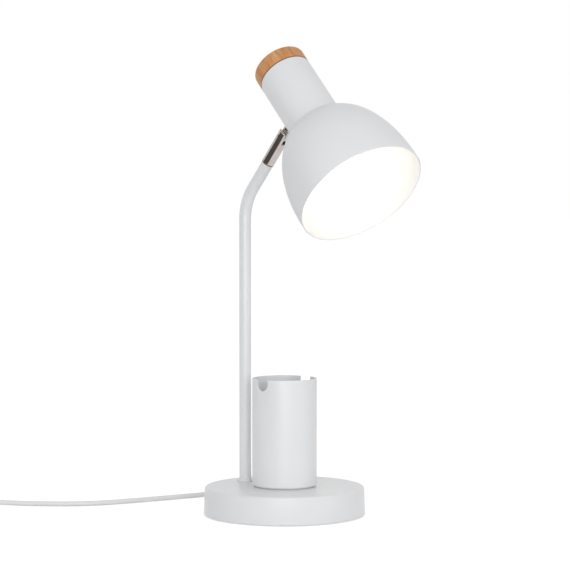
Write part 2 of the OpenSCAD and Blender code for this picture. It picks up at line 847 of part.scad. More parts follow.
// The bell's outer curve and its inner one, a wall's thickness inside.
function curve(p, t) =
    pow(1 - t, 3) * p[0] + 3 * pow(1 - t, 2) * t * p[1] + 3 * (1 - t) * t * t * p[2] + pow(t, 3) * p[3];
function slope(p, t) =
    unit(pow(1 - t, 2) * (p[1] - p[0]) + 2 * (1 - t) * t * (p[2] - p[1]) + t * t * (p[3] - p[2]));
function inside(p, t, wall) = let (d = slope(p, t)) curve(p, t) - wall * [d[1], -d[0]];

module shade_bell() {
    outer = [for (i = [0:bell_steps]) curve(bell, i / bell_steps)];
    inner = [for (i = [bell_steps:-1:0]) inside(bell, i / bell_steps, shade_t)];
    flat = [[holder_hole_r, joint_z], [holder_hole_r, joint_z - shade_t]];
    color(white_paint) at_shade() rotate_extrude() polygon(concat(outer, flat, inner));
}

module shade_ring() {
    color(white_plastic) at_shade() translate([0, 0, joint_z - shade_t - shade_ring_h])
        washer(shade_ring_r, holder_r + slip, shade_ring_h);
}

module lampholder_body() {
    seat = joint_z + shade_t;
    color(white_plastic) at_shade() difference() {
        union() {
            translate([0, 0, holder_low]) cylinder(r = holder_r, h = seat - holder_low + 1);
            translate([0, 0, seat]) cylinder(r = holder_shoulder_r, h = holder_shoulder_h);
            translate([0, 0, seat]) cylinder(r = holder_body_r, h = holder_top - seat);
        }
        translate([0, 0, holder_low - 1]) cylinder(r = holder_bore_r, h = socket_l + 1);
    }
}

module screw_shell() {
    color(brass) at_shade() translate([0, 0, holder_low + shell_in])
        washer(shell_r, shell_r - shell_t, shell_l);
}

module centre_contact() {
    color(brass) at_shade() translate([-3, -8, contact_z]) cube([6, 16, contact_t]);
}

module terminal_screws() {
    color(brass) at_shade() for (s = [-1, 1]) translate([s * terminal_x, 0, holder_top])
        difference() {
            cylinder(r = terminal_r, h = terminal_h);
            translate([-4, -0.4, terminal_h - 0.7]) cube([8, 0.8, 2]);
        }
}

module head_lead() {
    color(cord_white) at_shade() tube(head_lead_path, head_lead_r, lead_sides);
}

module bulb_globe() {
    color(white_plastic) at_shade() difference() {
        translate([0, 0, bulb_mid_z]) sphere(r = bulb_r);
        translate([0, 0, bulb_mid_z]) sphere(r = bulb_r - bulb_glass_t);
        translate([0, 0, bulb_collar_z]) cylinder(r = bulb_r, h = bulb_d);
    }
}

module bulb_collar() {
    color(white_plastic) at_shade() translate([0, 0, bulb_collar_z])
        cylinder(r1 = bulb_seat_r, r2 = bulb_neck_r, h = bulb_collar_h);
}

module bulb_screw_cap() {
    color(chrome) at_shade() difference() {
        translate([0, 0, bulb_z]) cylinder(d = bulb_cap_d, h = bulb_cap_top - bulb_z);
        translate([0, 0, bulb_z - 1]) cylinder(d = bulb_cap_d - 2, h = bulb_cap_top - bulb_z - 1);
    }
}

module bulb_contact() {
    color(brass) at_shade() translate([0, 0, bulb_cap_top])
        cylinder(r = bulb_contact_r, h = contact_z - bulb_cap_top);
}

// A steel strap across the neck, bent down at both ends, that the cap's screw pulls on.
module cap_bracket() {
    reach = neck_inner_r;
    color(steel) at_shade() difference() {
        intersection() {
            cylinder(r = reach, h = neck_above);
            union() {
                translate([-reach, -bracket_w / 2, bracket_z]) cube([2 * reach, bracket_w, bracket_t]);
                for (s = [-1, 1]) translate([s * (reach - bracket_t) - bracket_t, -bracket_w / 2,
                                             bracket_z - bracket_tab])
                    cube([2 * bracket_t, bracket_w, bracket_tab + bracket_t]);
            }
        }
        cylinder(r = cap_screw_r + hole_gap, h = neck_above);
    }
}

module cap_screw() {
    color(steel) at_shade() {
        translate([0, 0, bracket_z - cap_screw_head_h]) cylinder(r = cap_screw_head_r, h = cap_screw_head_h);
        translate([0, 0, bracket_z]) cylinder(r = cap_screw_r, h = cap_z - spigot_l - bracket_z + cap_screw_in);
    }
}

module wooden_cap() {
    top = cap_z + cap_h;
    color(beech) at_shade() difference() {
        union() {
            translate([0, 0, cap_z - spigot_l]) cylinder(r = spigot_r, h = spigot_l + 1);
            rotate_extrude() difference() {
                union() {
                    translate([0, cap_z]) square([neck_r, cap_h - cap_edge]);
                    translate([0, cap_z]) square([neck_r - cap_edge, cap_h]);
                    translate([neck_r - cap_edge, top - cap_edge]) circle(r = cap_edge);
                }
                translate([-neck_r, 0]) square([neck_r, top + 5]);
            }
        }
        translate([0, 0, cap_z - spigot_l - 1])
            cylinder(r = cap_screw_r + thread_gap, h = cap_screw_in + 2);
    }
}

module cord_run() {
    color(cord_white) tube(run_path, cord_r, 10);
}

module cord_lead() {
    color(cord_white) tube(lead_out_path, cord_r, 10);
}

module cord_coil() {
    color(cord_white) tube(coil_path, cord_r, coil_sides);
}

module cord_end() {
    color(cord_white) tube(end_path, cord_r, 10);
}

// A strap round the coil's turns at one place.
module cord_tie() {
    tie_t = 0.7;
    tie_w = 8;
    in_r = coil_in_r - coil_dip - cord_r - 0.6;
    out_r = coil_out_r + cord_r + 0.6;
    low = coil_low - cord_r - 0.2;
    high = coil_low + coil_pitch + cord_r + 0.4;
    color(white_plastic) translate([coil_mid[0], coil_mid[1], 0]) rotate([0, 0, 310])
        translate([0, tie_w / 2, 0]) rotate([90, 0, 0]) linear_extrude(tie_w) difference() {
            translate([in_r - tie_t, low - tie_t]) square([out_r - in_r + 2 * tie_t, high - low + 2 * tie_t]);
            translate([in_r, low]) square([out_r - in_r, high - low]);
        }
}

// Long outline of the switch with round ends.
module switch_outline(inset) {
    w = switch_w / 2 - inset;
    flat = switch_end - 7;
    intersection() {
        square([2 * (switch_end - inset), 2 * w], center = true);
        union() {
            square([2 * flat, 2 * w], center = true);
            for (s = [-1, 1]) translate([s * (flat - 6), 0]) circle(r = w);
            for (s = [-1, 1]) translate([s * (flat), 0])
                square([2 * (switch_end - flat - inset), w * 1.3], center = true);
        }
    }
}

module for_switch_screws() {
    for (s = [-1, 1]) translate([s * switch_screw_x, 0, 0]) children();
}

module switch_base() {
    color(white_plastic) at_switch() difference() {
        linear_extrude(switch_base_h) switch_outline(0);
        translate([0, 0, switch_wall]) linear_extrude(switch_base_h) intersection() {
            switch_outline(switch_wall);
            square([2 * switch_screw_x - 8, switch_w], center = true);
        }
        for_switch_screws() {
            translate([0, 0, -1]) cylinder(r = switch_screw_head_r + hole_gap, h = 3);
            cylinder(r = switch_screw_r + thread_gap, h = switch_base_h + 1);
        }
    }
}

module switch_cover() {
    color(white_plastic) at_switch() difference() {
        translate([0, 0, switch_base_h]) linear_extrude(switch_cover_h) switch_outline(0);
        translate([0, 0, switch_base_h - 1]) linear_extrude(switch_cover_h - switch_wall + 1) intersection() {
            switch_outline(switch_wall);
            square([2 * switch_screw_x - 8, switch_w], center = true);
        }
        translate([-rocker_l / 2 - 0.6, -rocker_w / 2 - 0.5, switch_base_h])
            cube([rocker_l + 1.2, rocker_w + 1, switch_cover_h + 1]);
        for_switch_screws() cylinder(r = switch_screw_r + thread_gap, h = switch_base_h + 5);
        translate([0, 0, rocker_axis_z]) rotate([90, 0, 0])
            cylinder(r = rocker_pin_r + slip, h = switch_w - 5, center = true);
    }
}

module switch_screws() {
    color(steel) at_switch() for_switch_screws() {
        translate([0, 0, 0.5]) cylinder(r = switch_screw_head_r, h = 1.5);
        translate([0, 0, 2]) cylinder(r = switch_screw_r, h = switch_base_h + 2);
    }
}

module switch_contacts() {
    color(brass) at_switch() for (s = [-1, 1]) translate([s * 9 - 3, -3, switch_wall])
        cube([6, 6, 1.2]);
}

// The rocker: a round-bottomed key on its own stub pins.
module switch_rocker() {
    color(white_plastic) at_switch() translate([0, 0, rocker_axis_z]) rotate([0, rocker_on, 0]) {
        rotate([90, 0, 0]) translate([0, 0, -rocker_w / 2]) linear_extrude(rocker_w) difference() {
            translate([-rocker_l / 2 + 0.6, -rocker_low]) square([rocker_l - 1.2, rocker_low + 7.6]);
            translate([0, 7.2 + rocker_r * 2]) circle(r = rocker_r * 2);
        }
        rotate([90, 0, 0]) cylinder(r = rocker_pin_r, h = switch_w - 5.4, center = true);
    }
}

// The plug: a flat body with a tapered neck, and two round pins.
module plug_body() {
    color(white_plastic) at_plug() {
        rotate([0, 90, 0]) cylinder(r1 = cord_r + 1, r2 = plug_neck_r, h = plug_neck_l);
        translate([plug_neck_l, 0, -plug_z]) linear_extrude(plug_h) difference() {
            hull() {
                translate([0, -6]) square([1, 12]);
                translate([14, -plug_w / 2]) square([plug_l - 14, plug_w]);
            }
            for (s = [-1, 1]) translate([plug_l - 12, s * (plug_w / 2 + 8)]) circle(r = 10);
        }
    }
}

module plug_pins() {
    color(brass) at_plug() for (s = [-1, 1]) translate([plug_neck_l + plug_l, s * pin_gap / 2, 0])
        rotate([0, 90, 0]) cylinder(r = pin_r, h = pin_l);
}

base_cover();
base_weight();
base_plate();
plate_screws();
foot_pad();
cord_gland();
cord_clamp();
clamp_screws();
inner_lead();
cup_ring();
pen_cup();
cup_washer();
cup_screw();
cup_nut();
arm_collar();
arm_nipple();
arm_washer();
arm_nut();
arm_tube();
swivel_nipple();
swivel_ring();
knuckle_barrel();
pivot_washers();
pivot_screw();
knuckle_tongue();
stud_washer();
stud_nut();
neck_housing();
shade_bell();
shade_ring();
lampholder_body();
screw_shell();
centre_contact();
terminal_screws();
head_lead();
bulb_globe();
bulb_collar();
bulb_screw_cap();
bulb_contact();
cap_bracket();
cap_screw();
wooden_cap();
cord_run();
switch_base();
switch_cover();
switch_screws();
switch_contacts();
switch_rocker();
cord_lead();
cord_coil();
cord_tie();
cord_end();
plug_body();
plug_pins();
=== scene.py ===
# %% [markdown]
# # A white desk lamp with a pen cup
#
# This lesson dresses a small desk lamp. It stands on a round, weighted base. A pen cup with two notches
# stands in the middle of the base, and behind it a bent tube carries a chrome knuckle. The knuckle swivels
# and tilts a bell shade with a wooden cap. A white cord leaves the base at the back, passes a switch and
# ends in a plug.
#
# The solids come from a CAD model, which is loaded as a fixed frame. Every new piece is made at its real
# place, in metres, and rides on one of the frame's bodies, so that it moves when the lamp's joints do.

import math
from math import cos, pi, radians, sin, sqrt, tan

import bpy
from mathutils import Matrix, Vector


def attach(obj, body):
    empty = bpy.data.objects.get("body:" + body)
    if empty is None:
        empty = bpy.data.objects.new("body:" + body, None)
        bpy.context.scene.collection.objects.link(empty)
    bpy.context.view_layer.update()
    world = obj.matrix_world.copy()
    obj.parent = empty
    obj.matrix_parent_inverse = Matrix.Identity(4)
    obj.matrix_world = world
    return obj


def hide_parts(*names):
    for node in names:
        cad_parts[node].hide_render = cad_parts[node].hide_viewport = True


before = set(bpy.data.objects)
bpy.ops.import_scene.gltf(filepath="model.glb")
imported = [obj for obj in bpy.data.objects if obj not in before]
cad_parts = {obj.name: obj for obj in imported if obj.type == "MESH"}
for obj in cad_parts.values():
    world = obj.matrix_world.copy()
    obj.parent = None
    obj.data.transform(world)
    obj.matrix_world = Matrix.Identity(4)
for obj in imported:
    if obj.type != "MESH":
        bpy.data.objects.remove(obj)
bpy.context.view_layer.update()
mm = 0.001

# %% [markdown]
# ## Camera
#
# The photograph was taken from a little above the shade's height, from far away, with a long lens: upright
# lines stay upright and the base's ellipse is shallow. Its place was worked out from the base, the cup and
# the arm. The camera looks almost level, from the front left.

# %% Camera
scene = bpy.context.scene
camera = bpy.data.objects.new("camera", bpy.data.cameras.new("camera"))
scene.collection.objects.link(camera)
camera.data.lens = 136.4
camera.data.sensor_width = 36
camera.data.clip_end = 60
camera.location = (-1.5504, -1.4616, 0.3272)
level_x, level_y, pitch = 0.7278, 0.6858, radians(2.68)
look = Vector((level_x * cos(pitch), level_y * cos(pitch), -sin(pitch)))
camera.rotation_euler = look.to_track_quat("-Z", "Y").to_euler()
scene.camera = camera
print("camera at", tuple(camera.location), "looking along", tuple(round(v, 3) for v in look))

# %% [markdown]
# ## Floor, world and lamps
#
# All finishes and lights are small trees of nodes. Three helpers make them short to write: one turns a
# screen colour into the linear colour that a shader needs, one adds a node with its settings and links, and
# one opens an empty material. A fourth tells rays that look at a thing from light that falls on it.

# %% Small helpers for node trees
RGBA = {"data_type": "RGBA"}


def linear(code):
    """A hex colour as written for screens, as the linear colour that a shader needs."""
    parts = [int(code[i : i + 2], 16) / 255 for i in (1, 3, 5)]
    return [v / 12.92 if v <= 0.04045 else ((v + 0.055) / 1.055) ** 2.4 for v in parts] + [1.0]


def add(tree, kind, settings=None, **links):
    """A node of that kind, with its settings. Links set its inputs: a value, or another node's output."""
    made = tree.nodes.new(kind)
    for key, value in (settings or {}).items():
        setattr(made, key, value)
    for key, value in links.items():
        by_number = key[0] == "i" and key[1:].isdigit()
        socket = made.inputs[int(key[1:]) if by_number else key.replace("_", " ")]
        if isinstance(value, bpy.types.NodeSocket):
            tree.links.new(value, socket)
        else:
            socket.default_value = value
    return made


def new_material(name):
    """An empty material and its node tree."""
    material = bpy.data.materials.new(name)
    material.use_nodes = True
    material.node_tree.nodes.clear()
    return material, material.node_tree


def looked_at(tree):
    """1 for a ray from the camera, a mirror or glass, and 0 for light on its way to a dull surface."""
    rays = add(tree, "ShaderNodeLightPath").outputs
    larger = {"operation": "MAXIMUM"}
    either = add(tree, "ShaderNodeMath", larger, i0=rays["Is Camera Ray"], i1=rays["Is Glossy Ray"])
    any_of_them = add(tree, "ShaderNodeMath", larger, i0=either.outputs[0], i1=rays["Is Transmission Ray"])
    return any_of_them.outputs[0]


print("helpers for node trees are ready")

# %% [markdown]
# The lamp is pictured on pure white. The world shows as white wherever it is looked at, also in a mirror,
# but it lights the lamp with less, so that the lamps can shape it.

# %% World
world_light = 0.62
world = bpy.data.worlds.new("studio")
scene.world = world
world.use_nodes = True
sky = world.node_tree
sky.nodes.clear()
sky_level = add(sky, "ShaderNodeMapRange", i0=looked_at(sky), i3=world_light, i4=1.0)
sky_light = add(sky, "ShaderNodeBackground", Color=linear("#FFFFFF"), Strength=sky_level.outputs[0])
add(sky, "ShaderNodeOutputWorld", Surface=sky_light.outputs[0])
scene.view_settings.view_transform = "Standard"
print("world lights with", world_light, "and shows as white")

# %% [markdown]
# The floor is a sheet of white studio paper. Paper is dull and a little grey, so it adds some brightness of
# its own, only where it is looked at. That brings it to white and keeps the lamp's shadow.

# %% Floor
floor_glow = 0.56
bpy.ops.object.select_all(action="DESELECT")
bpy.ops.mesh.primitive_plane_add(size=30, location=(0, 0, -0.0003))
floor = bpy.context.object
floor.name = "floor"
paper, paper_tree = new_material("seamless paper, white")
paper_level = add(
    paper_tree, "ShaderNodeMath", {"operation": "MULTIPLY"}, i0=looked_at(paper_tree), i1=floor_glow
)
paper_dull = add(paper_tree, "ShaderNodeBsdfDiffuse", Color=linear("#E8E8E8"))
paper_glow = add(
    paper_tree, "ShaderNodeEmission", Color=linear("#FFFFFF"), Strength=paper_level.outputs[0]
)
paper_both = add(paper_tree, "ShaderNodeAddShader", i0=paper_dull.outputs[0], i1=paper_glow.outputs[0])
add(paper_tree, "ShaderNodeOutputMaterial", Surface=paper_both.outputs[0])
floor.data.materials.append(paper)
print("floor glows with", floor_glow)

# %% [markdown]
# Upright surfaces that face the camera are the brightest, and their sides and the top of the base are a
# little greyer. So the main lamp is a large soft box that hangs low beside the camera. A weak one above it
# lights what faces up, and another at the right keeps that side from going dull.

# %% Lamps
box_size = 1.2


def area_lamp(name, place, aim_height, watts):
    """A soft square lamp at a place, aimed at a height on the lamp's middle line."""
    lamp = bpy.data.objects.new(name, bpy.data.lights.new(name, "AREA"))
    scene.collection.objects.link(lamp)
    lamp.location = place
    aim = Vector((0, 0, aim_height)) - Vector(place)
    lamp.rotation_euler = aim.to_track_quat("-Z", "Y").to_euler()
    lamp.data.size = box_size
    lamp.data.energy = watts
    print(name, "gives", watts, "W")


area_lamp("low_box", (-1.46, -1.37, 0.05), 0.15, 20.4)
area_lamp("high_box", (-1.4, -1.3, 0.9), 0.2, 2.2)
area_lamp("side_box", (0.4, -1.9, 0.5), 0.2, 3)

# %% [markdown]
# Chrome has no colour of its own: it looks like metal only when it has something dark to reflect. A
# photographer stands a dark card beside it. This card is seen only in reflections, never by the camera. It
# faces the knuckle, and its place follows from the mirror law: it fills the directions that the left half
# of the barrel reflects.

# %% A dark card for the chrome to reflect
card_paint, card_tree = new_material("studio card, charcoal")
card_tone = add(card_tree, "ShaderNodeEmission", Color=linear("#67635F"), Strength=1.0)
add(card_tree, "ShaderNodeOutputMaterial", Surface=card_tone.outputs[0])
knuckle_at = Vector((0, 0.01, 0.36))
card_distance, card_length, card_width = 0.3, 0.54, 0.2
card_middle = Vector((-0.88, 0.37, -0.30))
card_first = Vector((-0.52, 0.85, 0.09))
card_last = Vector((-0.66, -0.15, -0.73))
card_long = (card_last - card_first).normalized()
card_across = (-card_middle.normalized()).cross(card_long).normalized()
card_axes = Matrix((card_long, card_across, card_long.cross(card_across))).transposed().to_4x4()
bpy.ops.object.select_all(action="DESELECT")
bpy.ops.mesh.primitive_plane_add(size=1)
card = bpy.context.object
card.name = "card"
card_place = Matrix.Translation(knuckle_at + card_distance * card_middle)
card.matrix_world = card_place @ card_axes @ Matrix.Diagonal((card_length, card_width, 1, 1))
card.data.materials.append(card_paint)
card.visible_camera = card.visible_diffuse = card.visible_shadow = card.visible_transmission = False
print("card at", [round(v, 2) for v in card.matrix_world.translation])

# %% [markdown]
# ## Modelling helpers
#
# Most of this lamp is turned or spun: the base, the cup, the shade, the knuckle and the cap. Each is made
# like work on a lathe. A circle is added, and its edges are extruded and scaled to each next point of the
# outline. Where an outline comes back to its first point, merging the doubles closes the shell, so walls
# have a thickness.

# %% Helpers: one object at a time, a turned shape, arcs for outlines
def only(piece):
    """Deselects everything else and makes this piece the active one."""
    if bpy.context.mode != "OBJECT":
        bpy.ops.object.mode_set(mode="OBJECT")
    bpy.ops.object.select_all(action="DESELECT")
    piece.select_set(True)
    bpy.context.view_layer.objects.active = piece


def settle(piece, place=None):
    """Puts a piece made at the origin in its place, with the place in its mesh."""
    only(piece)
    if place is not None:
        piece.matrix_world = place @ piece.matrix_world
    bpy.ops.object.transform_apply(location=True, rotation=True, scale=True)
    return piece


def soften(piece, angle=30):
    """Smooth shading, with edges sharper than the angle kept crisp."""
    only(piece)
    bpy.ops.object.shade_smooth_by_angle(angle=radians(angle))
    return piece


def arc(centre_r, centre_z, radius, start, end, steps):
    """Points of an arc in an outline, in mm. 0 degrees points outwards and 90 up."""
    turns = [radians(start + (end - start) * i / steps) for i in range(steps + 1)]
    return [(centre_r + radius * cos(a), centre_z + radius * sin(a)) for a in turns]


def turned(name, outline, steps, place=None):
    """A lathe-turned piece from an outline of (radius, height) in mm."""
    points = [(max(r, 0.001) * mm, z * mm) for r, z in outline]
    bpy.ops.object.select_all(action="DESELECT")
    bpy.ops.mesh.primitive_circle_add(vertices=steps, radius=points[0][0], location=(0, 0, points[0][1]))
    piece = bpy.context.object
    piece.name = name
    bpy.ops.object.mode_set(mode="EDIT")
    bpy.ops.mesh.select_mode(type="VERT")
    bpy.ops.mesh.select_all(action="SELECT")
    for (r_now, z_now), (r, z) in zip(points, points[1:]):
        bpy.ops.mesh.extrude_region_move(TRANSFORM_OT_translate={"value": (0, 0, z - z_now)})
        bpy.ops.transform.resize(value=(r / r_now, r / r_now, 1), center_override=(0, 0, 0))
    bpy.ops.mesh.select_all(action="SELECT")
    bpy.ops.mesh.remove_doubles(threshold=4e-6)
    bpy.ops.mesh.normals_make_consistent(inside=False)
    bpy.ops.object.mode_set(mode="OBJECT")
    settle(piece)
    if place is not None:
        settle(piece, place)
    return soften(piece)


print("a turned piece is made from an outline of (radius, height) in mm")

# %% [markdown]
# The few pieces that aren't round start as a block or a rod, which is then cut, joined and bevelled. A real
# edge is never perfectly sharp, so each such piece gets a small bevel, which catches a line of light. The
# last helper dresses a finished piece: its material, the body that it rides on and the CAD nodes it stands
# for.

# %% Helpers: blocks, cuts, bevels and dress
def block(name, low, high):
    """A box between two corners in mm, to be shaped further."""
    bpy.ops.object.select_all(action="DESELECT")
    bpy.ops.mesh.primitive_cube_add(size=1)
    piece = bpy.context.object
    piece.name = name
    piece.dimensions = [(b - a) * mm for a, b in zip(low, high)]
    piece.location = [(a + b) / 2 * mm for a, b in zip(low, high)]
    return settle(piece)


def rod(name, radius, length, centre, axis, steps, place=None):
    """A cylinder in mm whose middle is at a centre, along one axis."""
    bpy.ops.object.select_all(action="DESELECT")
    bpy.ops.mesh.primitive_cylinder_add(vertices=steps, radius=radius * mm, depth=length * mm)
    piece = bpy.context.object
    piece.name = name
    about = {"X": "Y", "Y": "X"}
    turn = Matrix.Rotation(pi / 2, 4, about[axis]) if axis in about else Matrix.Identity(4)
    settle(piece, Matrix.Translation(Vector(centre) * mm) @ turn)
    return settle(piece, place) if place is not None else piece


def combine(piece, tool, how="DIFFERENCE"):
    """Cuts the tool out of the piece, or joins it on, and deletes the tool."""
    only(piece)
    change = piece.modifiers.new("cut", "BOOLEAN")
    change.operation = how
    change.object = tool
    change.solver = "EXACT"
    bpy.ops.object.modifier_apply(modifier=change.name)
    bpy.data.objects.remove(tool)
    return piece


def bevelled(piece, width, segments, angle):
    """Rounds the edges that are sharper than the angle. The width is in mm."""
    only(piece)
    edge = piece.modifiers.new("edge", "BEVEL")
    edge.width = width * mm
    edge.segments = segments
    edge.limit_method = "ANGLE"
    edge.angle_limit = radians(angle)
    edge.use_clamp_overlap = True
    edge.harden_normals = False
    bpy.ops.object.modifier_apply(modifier=edge.name)
    return piece


def rounded_corners(piece, choose, width, segments):
    """Rounds only the edges that choose(edge's middle, edge's direction) picks. Sizes in mm."""
    only(piece)
    bpy.ops.object.mode_set(mode="EDIT")
    bpy.ops.mesh.select_mode(type="EDGE")
    bpy.ops.mesh.select_all(action="DESELECT")
    bpy.ops.object.mode_set(mode="OBJECT")
    for edge in piece.data.edges:
        a, b = (piece.data.vertices[v].co / mm for v in edge.vertices)
        edge.select = bool(choose((a + b) / 2, (b - a).normalized()))
    bpy.ops.object.mode_set(mode="EDIT")
    bpy.ops.mesh.bevel(offset=width * mm, offset_type="OFFSET", segments=segments, affect="EDGES")
    bpy.ops.object.mode_set(mode="OBJECT")
    return piece


def dress(piece, material, body, nodes=()):
    """Gives a new piece its finish, its body, and the CAD nodes that it stands for."""
    piece.data.materials.clear()
    piece.data.materials.append(material)
    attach(piece, body)
    if nodes:
        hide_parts(*nodes)
    size = [round(d / mm, 1) for d in piece.dimensions]
    print(piece.name, size, "mm,", len(piece.data.polygons) if piece.type == "MESH" else "curve")
    return piece


print("blocks, rods, cuts and bevels are ready")

# %% [markdown]
# ## Finishes
#
# Each finish starts from the real material. All of them read Object coordinates, which are the lamp's own
# coordinates in metres, so the size of a pattern can be worked out from millimetres: a noise texture of
# scale 1000 has features about 1 mm apart. No real surface is quite even, so one helper opens a finish
# whose colour and roughness drift together between two values. Each kind of finish then adds its own fine
# relief.

# %% A finish that drifts a little
def uneven(name, scale, detail, colour, deep, rough_low, rough_high):
    """Opens a finish whose colour and roughness drift. Gives its material, tree, coordinates and shader."""
    material, tree = new_material(name)
    place = add(tree, "ShaderNodeTexCoord").outputs["Object"]
    cloud = add(tree, "ShaderNodeTexNoise", Vector=place, Scale=scale, Detail=detail).outputs["Fac"]
    tone = add(tree, "ShaderNodeMix", RGBA, i0=cloud, i6=linear(colour), i7=linear(deep))
    gloss = add(tree, "ShaderNodeMapRange", i0=cloud, i3=rough_low, i4=rough_high)
    shader = add(tree, "ShaderNodeBsdfPrincipled", Base_Color=tone.outputs[2], Roughness=gloss.outputs[0])
    add(tree, "ShaderNodeOutputMaterial", Surface=shader.outputs[0])
    print("made", name)
    return material, tree, place, shader


# %% [markdown]
# Sheet steel is sprayed with a dry powder that melts in an oven. It flows almost smooth, and leaves a faint
# ripple, like orange peel, about 1.5 mm across. Highlights are soft, with a slightly wavy edge. The ripple
# is a noise of scale 650 read as height, with specks of 0.4 mm on it. The base and the arm are a little
# glossier.

# %% Powder-coated steel
def powder_coat(name, rough_low, rough_high):
    """White powder paint on steel, with the ripple that it keeps from the oven."""
    coat, tree, place, paint = uneven(name, 28.0, 2.0, "#E9EAEB", "#E5E6E8", rough_low, rough_high)
    paint.inputs["IOR"].default_value = 1.5
    peel = add(tree, "ShaderNodeTexNoise", Vector=place, Scale=650.0, Detail=1.5).outputs["Fac"]
    speck = add(tree, "ShaderNodeTexNoise", Vector=place, Scale=2600.0, Detail=1.0).outputs["Fac"]
    both = add(tree, "ShaderNodeMath", {"operation": "MULTIPLY_ADD"}, i0=speck, i1=0.25, i2=peel)
    ripple = add(tree, "ShaderNodeBump", Strength=0.16, Distance=0.18 * mm, Height=both.outputs[0])
    tree.links.new(ripple.outputs[0], paint.inputs["Normal"])
    return coat


white_coat = powder_coat("powder-coated steel, matt white", 0.34, 0.44)
satin_coat = powder_coat("powder-coated steel, satin white", 0.26, 0.34)

# %% [markdown]
# Chrome is a mirror over nickel, and shows small smudges. Zinc plate is duller, with a frosty grain. Brass
# is left plain where nobody looks. A metal has no dull colour under its shine, so it is metallic all over.
# Smudges of 4 to 7 mm change its tone and its roughness, and a faint grain of about 1 mm keeps it from
# being perfect.

# %% Metals
def metal(name, colour, deep, rough_low, rough_high, smudge_scale, bump):
    """Plated or bare metal, with smudges and a faint grain."""
    plate, tree, place, shiny = uneven(name, smudge_scale, 4.0, colour, deep, rough_low, rough_high)
    shiny.inputs["Metallic"].default_value = 1.0
    grain = add(tree, "ShaderNodeTexNoise", Vector=place, Scale=900.0, Detail=3.0)
    rough = add(tree, "ShaderNodeBump", Strength=bump, Distance=0.2 * mm, Height=grain.outputs["Fac"])
    tree.links.new(rough.outputs[0], shiny.inputs["Normal"])
    return plate


chrome = metal("chrome plate, polished", "#BFB8B4", "#B2ABA7", 0.05, 0.12, 140.0, 0.02)
zinc = metal("zinc-plated steel", "#B9BCC0", "#9A9EA3", 0.28, 0.42, 260.0, 0.15)
brass = metal("brass, dulled", "#8C7F4C", "#6F6438", 0.24, 0.38, 180.0, 0.08)
nickel = metal("nickel-plated brass, polished", "#D6D0C4", "#C8C1B4", 0.14, 0.24, 200.0, 0.04)

# %% [markdown]
# ABS and other hard plastics leave the mould with a fine spark-eroded grain, well under a millimetre. PVC
# on a cord is a little softer to the eye. Silicone is smooth and milky. Rubber is rough and hardly shines,
# and so is cast iron, which keeps the grain of its sand mould under a dipped coat of paint. All of them are
# one recipe with a grain of 0.6 to 2.4 mm, drawn coarser than it is, because a finer one would not show.

# %% Moulded plastics, rubber and cast iron
def moulded(name, colour, deep, rough_low, rough_high, grain_scale, bump, ior=1.5):
    """A dull solid that came out of a mould, with the mould's grain on it."""
    solid, tree, place, body = uneven(name, 60.0, 2.0, colour, deep, rough_low, rough_high)
    body.inputs["IOR"].default_value = ior
    grain = add(tree, "ShaderNodeTexNoise", Vector=place, Scale=grain_scale, Detail=2.0)
    skin = add(tree, "ShaderNodeBump", Strength=bump, Distance=0.2 * mm, Height=grain.outputs["Fac"])
    tree.links.new(skin.outputs[0], body.inputs["Normal"])
    return solid


white_abs = moulded("ABS, moulded, white", "#ECECEA", "#E6E6E3", 0.36, 0.46, 1800.0, 0.14)
glossy_abs = moulded("ABS, moulded, gloss white", "#EFEFED", "#EAEAE8", 0.2, 0.28, 1500.0, 0.05)
white_pvc = moulded("PVC cord sheath, white", "#EDEDEE", "#E7E7E9", 0.38, 0.5, 1400.0, 0.12, 1.52)
porcelain_pbt = moulded("PBT lampholder, ivory white", "#EDEAE2", "#E6E2D9", 0.34, 0.42, 1300.0, 0.1)
black_rubber = moulded("nitrile rubber, black", "#232324", "#1B1B1C", 0.7, 0.85, 1600.0, 0.35, 1.52)
grey_silicone = moulded("silicone, grey", "#BCBEC0", "#B2B4B7", 0.5, 0.62, 1200.0, 0.1, 1.41)
cast_iron = moulded("cast iron, dip-painted", "#3B3D3F", "#2E3032", 0.6, 0.8, 420.0, 0.8)

# %% [markdown]
# The bulb is an opal polycarbonate globe with light-emitting diodes behind it. It is lit, so its surface
# gives light: warm white, and a little uneven over the globe. This light also makes the inside of the shade
# glow.

# %% Opal bulb
opal_low, opal_high = 3.7, 4.2
opal, opal_tree = new_material("polycarbonate globe, opal, lit")
opal_place = add(opal_tree, "ShaderNodeTexCoord").outputs["Object"]
opal_cloud = add(opal_tree, "ShaderNodeTexNoise", Vector=opal_place, Scale=30.0, Detail=1.0)
opal_level = add(opal_tree, "ShaderNodeMapRange", i0=opal_cloud.outputs["Fac"], i3=opal_low, i4=opal_high)
opal_body = add(
    opal_tree,
    "ShaderNodeBsdfPrincipled",
    Base_Color=linear("#F7F3EA"),
    Roughness=0.35,
    Emission_Color=linear("#FFF5E2"),
    Emission_Strength=opal_level.outputs[0],
)
add(opal_tree, "ShaderNodeOutputMaterial", Surface=opal_body.outputs[0])
print("made", opal.name, "giving light of", opal_low, "to", opal_high)

# %% [markdown]
# ## Where the head is
#
# The arm leans over at the top, the knuckle turns a little on the arm's end, and the shade hangs off the
# knuckle. These frames are built up in the same steps as on the real lamp, so that a piece can be turned
# about its own axis first and then put in place with one matrix. All sizes are in millimetres and degrees.

# %% Frames along the arm and the head
foot_y = 54.3  # the arm's foot, behind the middle of the base
bend_z, bend_r = 309.1, 50  # where the two straight runs would meet, and the bend's radius
arm_lean, upper_l = 39.2, 49.8
ring_t, barrel_l, pivot_back = 1.2, 38, 6
head_turn, head_lean = -5.5, 83.6
neck_r, neck_top, neck_reach = 26.8, 42.4, 15.06


def shift(x, y, z):
    return Matrix.Translation(Vector((x, y, z)) * mm)


